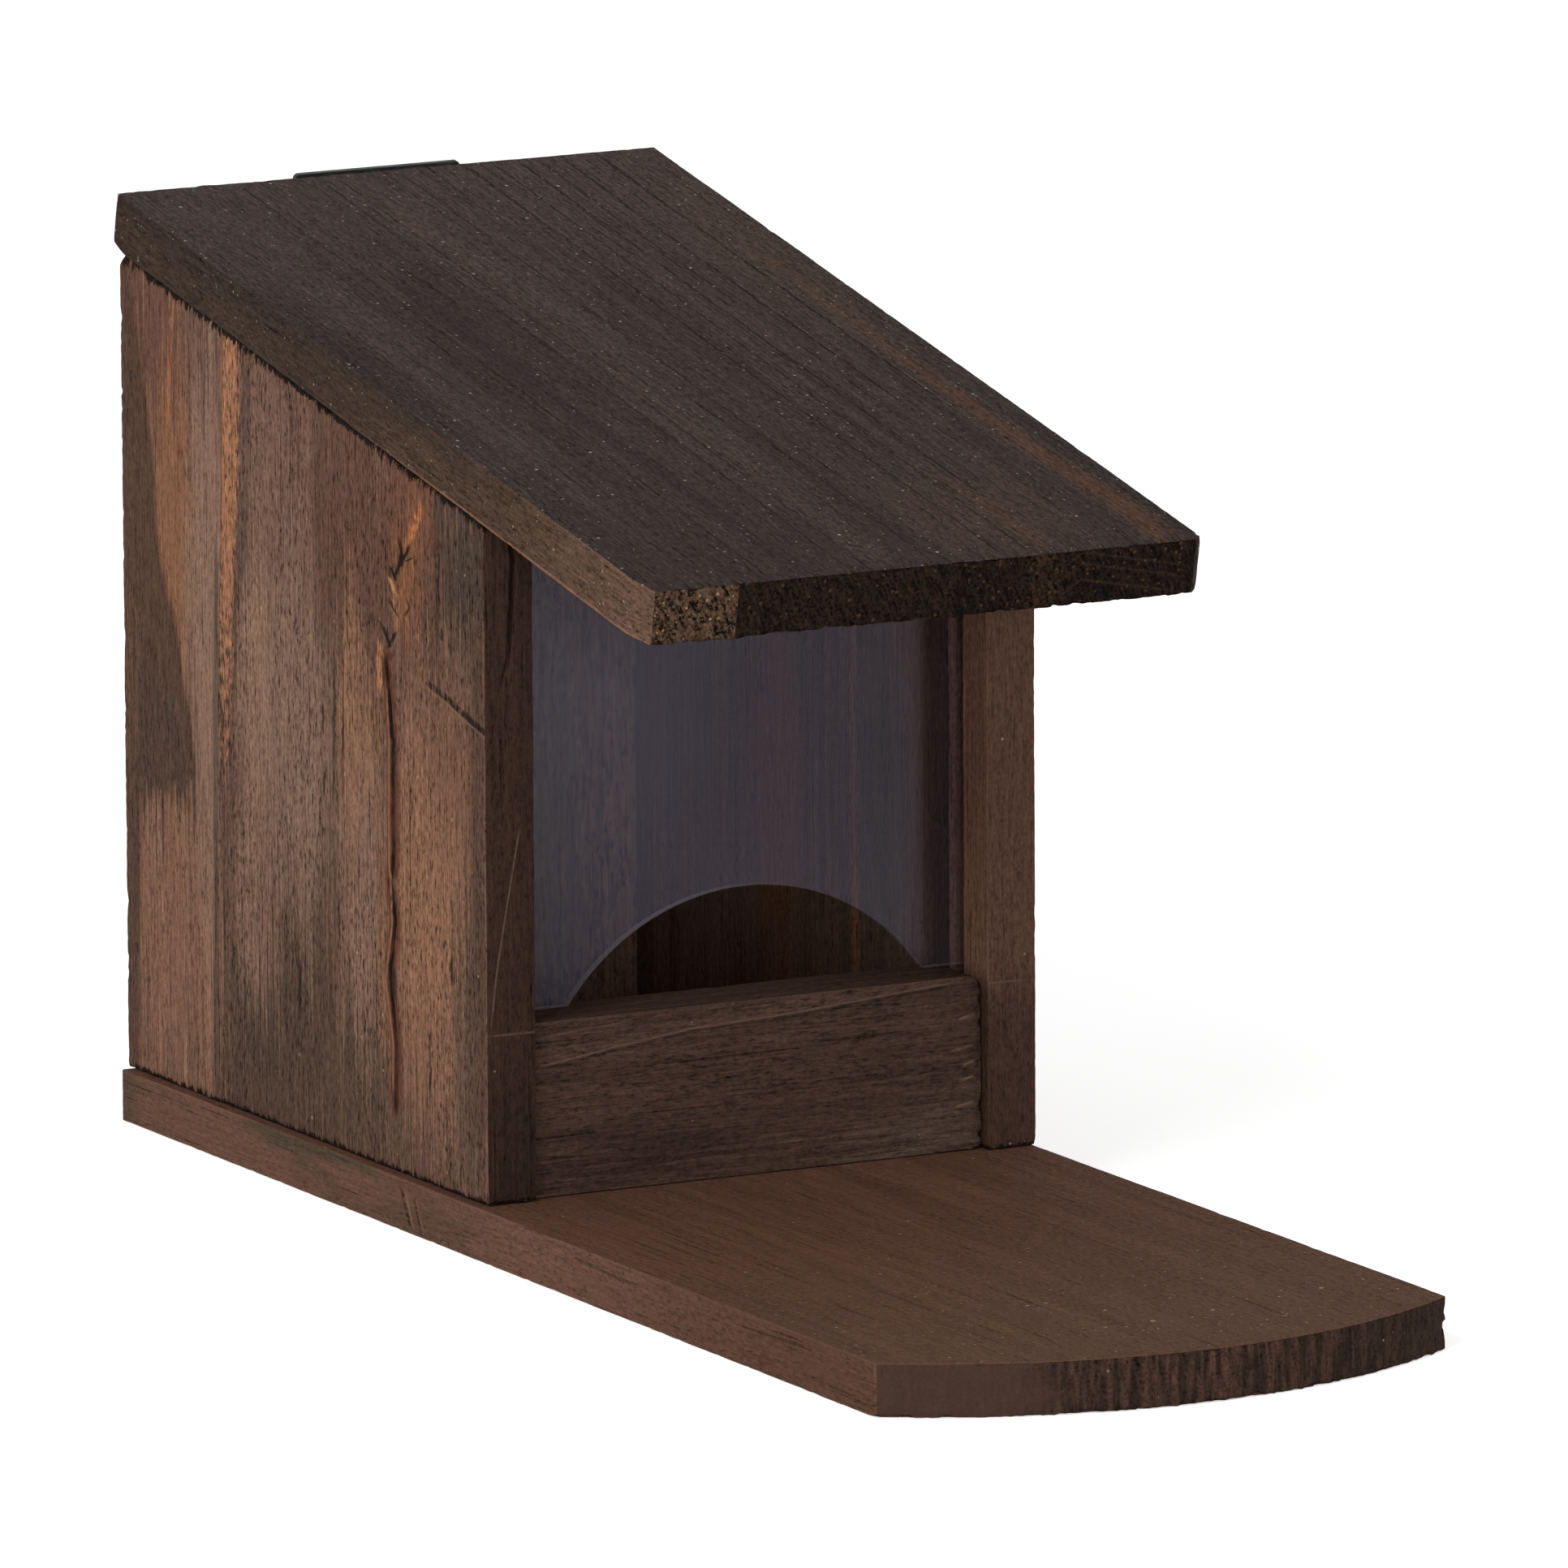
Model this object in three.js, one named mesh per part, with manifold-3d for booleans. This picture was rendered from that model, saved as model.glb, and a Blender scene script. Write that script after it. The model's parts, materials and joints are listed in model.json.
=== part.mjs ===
// A small wooden squirrel feeder. A house of stained boards stands at the rear of a base board
// whose front is a feeding platform with a bowed edge. An acrylic pane with an arched mouth slides
// in grooves in the side walls and stands on a low rail. A sloping lid of three glued staves
// turns up on a butt hinge at its rear edge.
// Millimetres, +Z up, +X to the right and the platform towards -Y.
import * as THREE from "three";
import { mergeVertices } from "three/addons/utils/BufferGeometryUtils.js";
import Module from "manifold-3d";

const wasm = await Module();
wasm.setup();

// Base board
const baseWidth = 120;
const baseSideLength = 310.5; // rear edge to the front corners
const baseBow = 19; // how far the front edge bows out between its corners
const baseThickness = 10.3;

// House: side walls, back panel and front rail
const houseInset = 1; // the house is this much narrower than the base, on each side
const houseShift = 1; // and stands this far right of the base's centre line
const houseProud = 1.2; // the walls stand this far behind the base's rear edge
const houseDepth = 154.1;
const wallThickness = 10.5;
const wallRearHeight = 161.6; // base to the wall's rear top corner
const wallEaseDepth = 2.3; // the worn rear top corner of a wall
const wallEaseHeight = 2.5;
const jointSetbackBottom = 37.4; // glue joint of the left wall, from its rear edge
const jointSetbackTop = 45;
const glueLine = 0.16;
const backThickness = 10.5;
const backProud = 0.8; // the back panel stands this far behind the walls
const railHeight = 34;
const railThickness = 15;
const railSetback = 2.2; // behind the front of the walls
const railEndRadius = 3; // the worn top corner at the rail's right end

// Front pane and its grooves
const paneThickness = 2;
const paneHeadroom = 1; // between the pane and the closed lid
const grooveSetback = 9.7; // front of a wall to the front lip of its groove
const grooveWidth = 5.6;
const grooveDepth = 4.5;
const paneSlack = 0.4; // at the pane's side edges
const paneSeat = 0.2; // between the pane and the rear side of its groove
const archRadius = 47;
const archRise = 19.7;
const archShift = 3.3; // the arch is cut this far right of the middle

// Lid
const lidPitch = THREE.MathUtils.degToRad(11.31);
const lidLength = 226.2; // along the slope
const lidThickness = 11.2;
const lidShortfall = 0.5; // the lid is this much narrower than the house
const lidShift = 1.2; // and its middle lies this far left of the house's
const lidGap = 0.3; // between the closed lid and the walls
const leftStaveWidth = 19;
const middleStaveWidth = 46;
const lidEaseLength = 4.9; // the worn lower edge at the rear
const lidEaseHeight = 1.05;
const facetLength = 8; // the planed facet at the front left corner
const facetWidth = 1.3;
const cornerClip = 1.6; // the worn front right corner

// Butt hinge
const hingeLength = 36;
const hingeShift = 2; // the hinge sits this far left of the lid's middle
const leafThickness = 1;
const leafWidth = 11.8; // pin axis to the free edge
const leafCorner = 1;
const pinRadius = 1;
const pinPlay = 0.08; // radial, between the pin and its knuckles
const pinHeadRadius = 1.5;
const pinHeadThickness = 0.6;
const knuckleGap = 0.3; // along the pin, between neighbouring knuckles
const leafClearance = 0.3; // between a leaf and the other leaf's knuckle
const leafSeat = 0.2; // between a leaf and the wood
const screwSpacing = 22; // between the two screws of a leaf

// Screws and brads
const hingeScrew = { headRadius: 2.2, headRim: 0.15, shankRadius: 1.1, length: 11, tip: 2.5 };
const baseScrew = { headRadius: 3.4, headRim: 0.3, shankRadius: 1.55, length: 30, tip: 4 };
const brad = { headRadius: 1, headRim: 0.5, shankRadius: 0.65, length: 27, tip: 2 };
const fastenerPlay = 0.12; // between a fastener and its hole
const screwSink = 0.15; // a screw's head lies this far below the surface
const bradSink = 0.5;
const recessArmShare = 0.62; // cross recess: its arms and their width, of the head's radius
const recessWidthShare = 0.22;
const recessDepthShare = 0.55; // and its depth, of the head's
const bradHeightShares = { bottom: 0.15, middle: 0.51, top: 0.85 }; // of the wall's rear height
const wallScrewShares = { rear: 0.12, front: 0.82 }; // of the house's depth, from its rear
const railScrewShares = { left: -0.3, right: 0.3 }; // of the inner width, from its middle

const overrun = 2; // every cutting solid runs this far past the face that it enters

// Planes of the house, with the base's rear edge at y = 0 and its underside at z = 0
const baseTop = baseThickness;
const baseRadius = (baseBow ** 2 + (baseWidth / 2) ** 2) / (2 * baseBow);
const houseWidth = baseWidth - 2 * houseInset;
const wallLeft = houseShift - houseWidth / 2;
const wallRight = houseShift + houseWidth / 2;
const innerLeft = wallLeft + wallThickness;
const innerRight = wallRight - wallThickness;
const innerWidth = innerRight - innerLeft;
const innerMiddle = (innerLeft + innerRight) / 2;
const houseRear = houseProud;
const houseFront = houseRear - houseDepth;
const backRear = houseRear + backProud;
const backFront = backRear - backThickness;
const railTop = baseTop + railHeight;
const railFront = houseFront + railSetback;
const railRear = railFront + railThickness;
const grooveFront = houseFront + grooveSetback;
const grooveRear = grooveFront + grooveWidth;
const paneRear = grooveRear - paneSeat;
const paneFront = paneRear - paneThickness;

// The tops of the walls and of the back panel lie in one sloping plane.
const wallTop = (y) => baseTop + wallRearHeight + (y - houseRear) * Math.tan(lidPitch);

// The pin is equally far from the back panel and from the lid's rear face, so both leaves lie
// flat. That puts the lid's underside above the pin by the tangent of half the pitch.
const knuckleRadius = pinRadius + pinPlay + leafThickness;
const woodDistance = knuckleRadius + leafSeat;
const lidUnderside = woodDistance * Math.tan(lidPitch / 2);
const lidMiddle = houseShift - lidShift;
const lidWidth = houseWidth - lidShortfall;
const pinY = backRear + woodDistance;
const pinZ = wallTop(backRear) + lidGap / Math.cos(lidPitch) + lidUnderside;

// Materials
function finish(color, roughness, metalness) {
  return new THREE.MeshStandardMaterial({ color, roughness, metalness });
}
const wallWood = finish(0x6f5242, 0.72, 0);
const lidWood = finish(0x3e362f, 0.78, 0);
const baseWood = finish(0x4a3630, 0.8, 0);
const acrylic = finish(0xe4e4ea, 0.12, 0);
acrylic.transparent = true;
acrylic.opacity = 0.3;
const blackSteel = finish(0x1d1d1f, 0.45, 0.7);
const zincSteel = finish(0x9a9a94, 0.38, 0.9);

// Joining and cutting. Only positions are kept, so that shared corners merge into one.
function toSolid(geometry) {
  const bare = geometry.clone();
  bare.deleteAttribute("normal");
  bare.deleteAttribute("uv");
  const merged = mergeVertices(bare);
  return new wasm.Manifold(
    new wasm.Mesh({
      numProp: 3,
      vertProperties: merged.attributes.position.array,
      triVerts: new Uint32Array(merged.index.array),
    }),
  );
}

function toGeometry(solid) {
  const mesh = solid.getMesh();
  const geometry = new THREE.BufferGeometry();
  geometry.setAttribute("position", new THREE.BufferAttribute(mesh.vertProperties, mesh.numProp));
  geometry.setIndex(new THREE.BufferAttribute(mesh.triVerts, 1));
  geometry.computeVertexNormals();
  return geometry;
}

function cut(geometry, tools) {
  return toGeometry(tools.reduce((rest, tool) => rest.subtract(toSolid(tool)), toSolid(geometry)));
}

function join(geometries) {
  const [first, ...others] = geometries.map(toSolid);
  return toGeometry(others.reduce((sum, solid) => sum.add(solid), first));
}

// Boards are outlines drawn in one plane and extruded square to it.
const X = new THREE.Vector3(1, 0, 0);
const Y = new THREE.Vector3(0, 1, 0);
const Z = new THREE.Vector3(0, 0, 1);

function outline(points) {
  return new THREE.Shape(points.map(([across, up]) => new THREE.Vector2(across, up)));
}

function extrude(shape, depth, curveSegments) {
  return new THREE.ExtrudeGeometry(shape, { depth, bevelEnabled: false, curveSegments });
}

// A plan outline in x and y, from z = low up to z = high
function upright(shape, low, high, curveSegments = 1) {
  return extrude(shape, high - low, curveSegments).translate(0, 0, low);
}

// A side outline in y and z, from x = left to x = right
function sideways(shape, left, right, curveSegments = 1) {
  const turn = new THREE.Matrix4().makeBasis(Y, Z, X);
  return extrude(shape, right - left, curveSegments).applyMatrix4(turn).translate(left, 0, 0);
}

// A front outline in x and z, from y = front back to y = rear
function frontal(shape, front, rear, curveSegments = 1) {
  const turn = new THREE.Matrix4().makeBasis(X, Z, Y.clone().negate());
  return extrude(shape, rear - front, curveSegments).applyMatrix4(turn).translate(0, rear, 0);
}

function block(left, right, front, rear, low, high) {
  const box = new THREE.BoxGeometry(right - left, rear - front, high - low);
  return box.translate((left + right) / 2, (front + rear) / 2, (low + high) / 2);
}

// Fasteners stand with the head's face at y = 0 and the point towards -Y. Each is turned from a
// profile of radii and heights, and its hole from the same profile with play.
const roundSegments = 16;

function turned(rows) {
  const points = rows.map(([radius, height]) => new THREE.Vector2(radius, height));
  return new THREE.LatheGeometry(points, roundSegments);
}

function fastenerRows(kind, play, top) {
  const cone = kind.headRadius - kind.shankRadius;
  return [
    [0, -kind.length - play],
    [kind.shankRadius + play, kind.tip - kind.length],
    [kind.shankRadius + play, -kind.headRim - cone],
    [kind.headRadius + play, -kind.headRim],
    [kind.headRadius + play, top],
    [0, top],
  ];
}

function crossHeadScrew(kind) {
  const arm = kind.headRadius * recessArmShare;
  const half = (kind.headRadius * recessWidthShare) / 2;
  const deep = (kind.headRim + kind.headRadius - kind.shankRadius) * recessDepthShare;
  return cut(turned(fastenerRows(kind, 0, 0)), [
    block(-arm, arm, -deep, overrun, -half, half),
    block(-half, half, -deep, overrun, -arm, arm),
  ]);
}

function fastenerHole(kind, sink) {
  return turned(fastenerRows(kind, fastenerPlay, sink + overrun));
}

// Where a fastener goes: its head faces outward and lies below the surface by sink.
function seatAt(surfacePoint, outward, sink) {
  const turn = new THREE.Quaternion().setFromUnitVectors(Y, outward);
  const head = surfacePoint.clone().addScaledVector(outward, -sink);
  return new THREE.Matrix4().compose(head, turn, new THREE.Vector3(1, 1, 1));
}

const downwards = Z.clone().negate();
const railDepthMiddle = (railFront + railRear) / 2;
const wallMiddles = { left: wallLeft + wallThickness / 2, right: wallRight - wallThickness / 2 };
const baseScrewSeats = new Map();
for (const [side, x] of Object.entries(wallMiddles)) {
  for (const [end, share] of Object.entries(wallScrewShares)) {
    const point = new THREE.Vector3(x, houseRear - share * houseDepth, 0);
    baseScrewSeats.set(`wall_screw_${side}_${end}`, seatAt(point, downwards, screwSink));
  }
}
for (const [side, share] of Object.entries(railScrewShares)) {
  const point = new THREE.Vector3(innerMiddle + share * innerWidth, railDepthMiddle, 0);
  baseScrewSeats.set(`rail_screw_${side}`, seatAt(point, downwards, screwSink));
}

const backDepthMiddle = (backFront + backRear) / 2;
const wallFaces = { left: [wallLeft, X.clone().negate()], right: [wallRight, X] };
const bradSeats = new Map();
for (const [side, [x, outward]] of Object.entries(wallFaces)) {
  for (const [level, share] of Object.entries(bradHeightShares)) {
    const point = new THREE.Vector3(x, backDepthMiddle, baseTop + share * wallRearHeight);
    bradSeats.set(`brad_${side}_${level}`, seatAt(point, outward, bradSink));
  }
}

// In a leaf's own frame the pin is the origin, the wood is towards -Y and the leaf runs along +Z.
const leafRoot = Math.sqrt(
  (knuckleRadius + leafClearance) ** 2 - (knuckleRadius - leafThickness) ** 2,
);
const leafInner = -knuckleRadius;
const leafOuter = leafInner + leafThickness;
const leafScrewSeats = new Map();
for (const [side, sign] of Object.entries({ left: -1, right: 1 })) {
  const x = (sign * screwSpacing) / 2;
  const point = new THREE.Vector3(x, leafOuter, (leafRoot + leafWidth) / 2);
  leafScrewSeats.set(side, seatAt(point, Y, screwSink));
}
const ownLeafFrame = new THREE.Matrix4();
const lidLeafFrame = new THREE.Matrix4().makeTranslation(-hingeShift, 0, 0);
const backLeafFrame = new THREE.Matrix4()
  .makeRotationY(Math.PI)
  .setPosition(lidMiddle - hingeShift, pinY, pinZ);

function leafScrewHoles(leafFrame) {
  return [...leafScrewSeats.values()].map((seat) =>
    fastenerHole(hingeScrew, screwSink).applyMatrix4(seat).applyMatrix4(leafFrame),
  );
}

function holesAt(seats, kind, sink) {
  return [...seats.values()].map((seat) => fastenerHole(kind, sink).applyMatrix4(seat));
}
const baseScrewHoles = holesAt(baseScrewSeats, baseScrew, screwSink);
const bradHoles = holesAt(bradSeats, brad, bradSink);

// Base board: straight sides and an arc across the front
function baseBoard() {
  const half = baseWidth / 2;
  const spread = Math.asin(half / baseRadius);
  const centre = baseRadius - baseSideLength - baseBow;
  const shape = new THREE.Shape();
  shape.moveTo(half, 0);
  shape.lineTo(-half, 0);
  shape.lineTo(-half, -baseSideLength);
  shape.absarc(0, centre, baseRadius, -Math.PI / 2 - spread, -Math.PI / 2 + spread, false);
  return cut(upright(shape, 0, baseThickness, 40), baseScrewHoles);
}

// Side walls, in y and z. The left one is two staves with a slanting glue joint between them.
const wallFrontEdge = [
  [houseFront, wallTop(houseFront)],
  [houseFront, baseTop],
];
const wallRearEdge = [
  [houseRear, baseTop],
  [houseRear, wallTop(houseRear) - wallEaseHeight],
  [houseRear - wallEaseDepth, wallTop(houseRear - wallEaseDepth)],
];

// The joint's line from the foot up, moved back by the distance given
function wallJoint(back) {
  const foot = houseRear - jointSetbackBottom + back;
  const head = houseRear - jointSetbackTop + back;
  return [
    [foot, baseTop],
    [head, wallTop(head)],
  ];
}

function wallBoard(edges, left, right, groove) {
  const tools = [groove, ...baseScrewHoles, ...bradHoles];
  return cut(sideways(outline(edges), left, right), tools);
}

const grooveTop = wallTop(houseRear) + overrun;
const leftGroove = block(
  innerLeft - grooveDepth, innerLeft + overrun, grooveFront, grooveRear, 0, grooveTop);
const rightGroove = block(
  innerRight - overrun, innerRight + grooveDepth, grooveFront, grooveRear, 0, grooveTop);
const frontStaveEdges = [...wallFrontEdge, ...wallJoint(-glueLine / 2)];
const rearStaveEdges = [...wallJoint(glueLine / 2).reverse(), ...wallRearEdge];
const wholeWallEdges = [...wallFrontEdge, ...wallRearEdge];

// Back panel: its top follows the slope of the walls.
function backPanel() {
  const shape = outline([
    [backFront, baseTop],
    [backRear, baseTop],
    [backRear, wallTop(backRear)],
    [backFront, wallTop(backFront)],
  ]);
  const board = sideways(shape, innerLeft, innerRight);
  return cut(board, [...bradHoles, ...leafScrewHoles(backLeafFrame)]);
}

function frontRail() {
  const shape = new THREE.Shape();
  const round = railEndRadius;
  shape.moveTo(innerLeft, baseTop);
  shape.lineTo(innerRight, baseTop);
  shape.absarc(innerRight - round, railTop - round, round, 0, Math.PI / 2, false);
  shape.lineTo(innerLeft, railTop);
  return cut(frontal(shape, railFront, railRear, 8), baseScrewHoles);
}

// Front pane: it reaches into both grooves, and the arch leaves it two feet on the rail.
function frontPane() {
  const left = innerLeft - grooveDepth + paneSlack;
  const right = innerRight + grooveDepth - paneSlack;
  const top = wallTop(paneFront) - paneHeadroom;
  const centre = railTop + archRise - archRadius;
  const lean = Math.asin((railTop - centre) / archRadius);
  const shape = new THREE.Shape();
  shape.moveTo(left, railTop);
  shape.absarc(innerMiddle + archShift, centre, archRadius, Math.PI - lean, lean, true);
  shape.lineTo(right, railTop);
  shape.lineTo(right, top);
  shape.lineTo(left, top);
  return frontal(shape, paneFront, paneRear, 40);
}

// Lid staves, in the lid's frame: the pin is the origin and -Y runs down the slope.
const lidRear = -woodDistance;
const lidFront = lidRear - lidLength;
const lidTop = lidUnderside + lidThickness;
const lidLeft = -lidWidth / 2;
const lidRight = lidWidth / 2;
const leftJoint = lidLeft + leftStaveWidth;
const rightJoint = leftJoint + middleStaveWidth;

// What a worn corner takes off, in plan: beyond a slanting line, out past the lid
function cornerTool(side, across, along) {
  const edge = side < 0 ? lidLeft : lidRight;
  const beyond = edge + side * overrun;
  return upright(
    outline([
      [edge - side * across, lidFront - overrun],
      [edge - side * across, lidFront],
      [edge, lidFront + along],
      [beyond, lidFront + along],
      [beyond, lidFront - overrun],
    ]),
    lidUnderside - overrun,
    lidTop + overrun,
  );
}
const lidTools = [
  cornerTool(-1, facetWidth, facetLength),
  cornerTool(1, cornerClip, cornerClip),
  ...leafScrewHoles(lidLeafFrame),
];

function lidStave(left, right) {
  const shape = outline([
    [lidFront, lidUnderside],
    [lidRear - lidEaseLength, lidUnderside],
    [lidRear, lidUnderside + lidEaseHeight],
    [lidRear, lidTop],
    [lidFront, lidTop],
  ]);
  return cut(sideways(shape, left, right), lidTools);
}

// Hinge leaves: a plate with round corners, and knuckles counted from the left along the pin
const knuckleSegments = 32;
const knuckleLength = (hingeLength - 2 * knuckleGap) / 3;

function ring(radius) {
  return new THREE.Shape().absarc(0, 0, radius, 0, 2 * Math.PI, false);
}

function knuckle(place) {
  const left = place * (knuckleLength + knuckleGap) - hingeLength / 2;
  const right = left + knuckleLength;
  const barrel = sideways(ring(knuckleRadius), left, right, knuckleSegments);
  const strap = block(left, right, leafInner, leafOuter, 0, leafRoot + leafThickness);
  const bore = sideways(ring(pinRadius + pinPlay), left - overrun, right + overrun, knuckleSegments);
  return cut(join([barrel, strap]), [bore]);
}

function hingeLeaf(knucklePlaces) {
  const right = hingeLength / 2;
  const shape = new THREE.Shape();
  shape.moveTo(-right, leafRoot);
  shape.lineTo(right, leafRoot);
  shape.absarc(right - leafCorner, leafWidth - leafCorner, leafCorner, 0, Math.PI / 2, false);
  shape.absarc(leafCorner - right, leafWidth - leafCorner, leafCorner, Math.PI / 2, Math.PI, false);
  const plate = frontal(shape, leafInner, leafOuter, 6);
  return cut(join([plate, ...knucklePlaces.map(knuckle)]), leafScrewHoles(ownLeafFrame));
}

// The pin's heads keep it in the back leaf's two outer knuckles.
function hingePin() {
  const shank = hingeLength / 2 + pinPlay;
  const end = shank + pinHeadThickness;
  const points = [
    [0, -end],
    [pinHeadRadius, -end],
    [pinHeadRadius, -shank],
    [pinRadius, -shank],
    [pinRadius, shank],
    [pinHeadRadius, shank],
    [pinHeadRadius, end],
    [0, end],
  ].map(([radius, height]) => new THREE.Vector2(radius, height));
  return new THREE.LatheGeometry(points, knuckleSegments).rotateZ(Math.PI / 2);
}

// The part's origin is under the middle of its bounding box, which reaches from the platform's
// bow to the knuckles and from the base's left side to the right side of base or house.
const frontmost = -baseSideLength - baseBow;
const rearmost = pinY + knuckleRadius;
const part = new THREE.Group();
part.position.y = -(frontmost + rearmost) / 2;
const lid = new THREE.Group();
lid.position.set(lidMiddle, pinY, pinZ);
lid.rotation.x = lidPitch;
part.add(lid);

function place(group, name, geometry, material, frame = new THREE.Matrix4()) {
  const mesh = new THREE.Mesh(geometry, material);
  mesh.name = name;
  mesh.applyMatrix4(frame);
  group.add(mesh);
}

place(part, "base_board", baseBoard(), baseWood);
place(
  part,
  "left_wall_front_stave",
  wallBoard(frontStaveEdges, wallLeft, innerLeft, leftGroove),
  wallWood,
);
place(
  part,
  "left_wall_rear_stave",
  wallBoard(rearStaveEdges, wallLeft, innerLeft, leftGroove),
  wallWood,
);
place(part, "right_wall", wallBoard(wholeWallEdges, innerRight, wallRight, rightGroove), wallWood);
place(part, "back_panel", backPanel(), wallWood);
place(part, "front_rail", frontRail(), baseWood);
place(part, "front_pane", frontPane(), acrylic);
place(lid, "lid_left_stave", lidStave(lidLeft, leftJoint - glueLine / 2), lidWood);
place(lid, "lid_middle_stave", lidStave(leftJoint + glueLine / 2, rightJoint - glueLine / 2), lidWood);
place(lid, "lid_right_stave", lidStave(rightJoint + glueLine / 2, lidRight), lidWood);
place(part, "hinge_back_leaf", hingeLeaf([0, 2]), blackSteel, backLeafFrame);
place(lid, "hinge_lid_leaf", hingeLeaf([1]), blackSteel, lidLeafFrame);
place(part, "hinge_pin", hingePin(), blackSteel, backLeafFrame);

const hingeScrewShape = crossHeadScrew(hingeScrew);
for (const [side, seat] of leafScrewSeats) {
  const backFrame = backLeafFrame.clone().multiply(seat);
  const lidFrame = lidLeafFrame.clone().multiply(seat);
  place(part, `hinge_back_screw_${side}`, hingeScrewShape, blackSteel, backFrame);
  place(lid, `hinge_lid_screw_${side}`, hingeScrewShape, blackSteel, lidFrame);
}
const baseScrewShape = crossHeadScrew(baseScrew);
for (const [name, seat] of baseScrewSeats) place(part, name, baseScrewShape, zincSteel, seat);
const bradShape = turned(fastenerRows(brad, 0, 0));
for (const [name, seat] of bradSeats) place(part, name, bradShape, zincSteel, seat);

export default part;
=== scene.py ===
"""The looks of a small wooden squirrel feeder: worn, stained boards, a scuffed clear pane, a
black butt hinge, zinc plated fixings, and the studio that they stand in."""

import itertools
import json
import math

import bpy
import numpy as np
from mathutils import Matrix, Vector


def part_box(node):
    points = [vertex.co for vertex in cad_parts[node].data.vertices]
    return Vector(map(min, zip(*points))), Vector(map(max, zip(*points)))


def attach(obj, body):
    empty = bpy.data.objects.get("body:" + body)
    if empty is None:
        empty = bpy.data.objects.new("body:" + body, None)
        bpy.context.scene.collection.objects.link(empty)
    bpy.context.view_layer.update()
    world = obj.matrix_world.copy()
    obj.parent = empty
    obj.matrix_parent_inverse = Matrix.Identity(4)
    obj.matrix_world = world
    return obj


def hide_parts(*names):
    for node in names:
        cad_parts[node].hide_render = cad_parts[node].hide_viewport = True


bl_info = {
    "name": "Squirrel feeder",
    "version": (1, 0, 0),
    "blender": (4, 5, 0),
    "location": "3D View > Sidebar > Feeder",
    "description": "Builds the boards, pane, hinge and fixings of a squirrel feeder and its studio",
    "category": "Add Mesh",
}

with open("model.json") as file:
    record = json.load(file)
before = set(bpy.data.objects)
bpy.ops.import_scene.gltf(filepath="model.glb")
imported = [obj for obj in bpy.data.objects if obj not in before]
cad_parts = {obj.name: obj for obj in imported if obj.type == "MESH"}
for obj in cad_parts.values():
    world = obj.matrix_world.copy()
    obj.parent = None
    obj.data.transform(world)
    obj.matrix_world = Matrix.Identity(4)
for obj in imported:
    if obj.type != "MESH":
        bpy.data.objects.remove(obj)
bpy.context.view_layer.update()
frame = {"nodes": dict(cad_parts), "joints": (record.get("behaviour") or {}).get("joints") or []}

MM = 0.001
X, Y, Z = range(3)
LOW, HIGH = 0, 1


def node_box(node):
    """A CAD node's lowest and highest corners, in millimetres."""
    return np.array(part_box(node), float) / MM


def node_middle(node):
    """The middle of a CAD node's box, in millimetres."""
    return node_box(node).mean(axis=0)


def seen(red, green, blue):
    """A colour written as it shows on a screen, 0 to 255, turned linear by the sRGB curve."""
    share = np.array([red, green, blue]) / 255
    curve = ((share + 0.055) / 1.055) ** 2.4
    return tuple(float(value) for value in np.where(share <= 0.04045, share / 12.92, curve))


def scaled(tone, level):
    """A colour made lighter or darker."""
    return tuple(value * level for value in tone)


# The lid's frame: its origin is on the hinge pin's axis, over the middle of the lid's width, and
# its Y runs up the slope.
LID_PITCH = math.radians(11.31)
LID_TURN = Matrix.Rotation(LID_PITCH, 3, "X")
LID_MIDDLE = (node_box("lid_left_stave")[LOW][X] + node_box("lid_right_stave")[HIGH][X]) / 2
LID_ORIGIN = Vector((LID_MIDDLE, *(np.array(frame["joints"][0]["pos_m"]) / MM)[[Y, Z]]))

# Slopes and joints of the house, and half the gap that stands for the glue
BASE_TOP = node_box("base_board")[HIGH][Z]
HOUSE_FRONT = node_box("right_wall")[LOW][Y]
HOUSE_REAR = node_box("right_wall")[HIGH][Y]
WALL_HEIGHT = 161.6
EASE_DEPTH, EASE_HEIGHT = 2.3, 2.5
JOINT_FOOT, JOINT_HEAD = HOUSE_REAR - 37.4, HOUSE_REAR - 45
HALF_GLUE = 0.08

# How far the lid's end grain leans, the dark of torn fibres with painted shade, and of cracks
END_SLANT = math.radians(28)
TORN_AND_SHADED = seen(20, 13, 9)
CRACKED = seen(26, 16, 11)


def wall_top(y):
    """Height of the sloping plane that the walls' tops lie in."""
    return BASE_TOP + WALL_HEIGHT + (y - HOUSE_REAR) * math.tan(LID_PITCH)


# How far apart the ripples are that wear the boards, in millimetres: in the arrises' radius, over
# the faces, in the tears and their shreds, in the nicks, and in the saw marks
EASE_RIPPLE, FACE_RIPPLE = 11, 19
TEAR_RIPPLE, SHRED_RIPPLE, NICK_RIPPLE, SAW_RIPPLE = 4, 1.2, 0.9, 1.3
FACE_WEAR = 0.04
ARRIS_REACH = 0.9


class FeederShape(bpy.types.PropertyGroup):
    """Sizes of the wear on the boards"""

    arris: bpy.props.FloatProperty(
        name="Arris", description="Radius that the boards' arrises are worn to",
        default=0.45 * MM, unit="LENGTH")
    chip: bpy.props.FloatProperty(
        name="Chips", description="Depth of the chips along the arrises",
        default=0.42 * MM, unit="LENGTH")
    saw: bpy.props.FloatProperty(
        name="Saw marks", description="Depth of the saw marks in the end grain",
        default=0.22 * MM, unit="LENGTH")
    crack: bpy.props.FloatProperty(
        name="Cracks", description="Depth of the long crack in the left wall",
        default=0.7 * MM, unit="LENGTH")


def colour(name, description, value):
    """A colour setting."""
    return bpy.props.FloatVectorProperty(
        name=name, description=description, subtype="COLOR", size=3, min=0, max=1,
        default=seen(*value))


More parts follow.
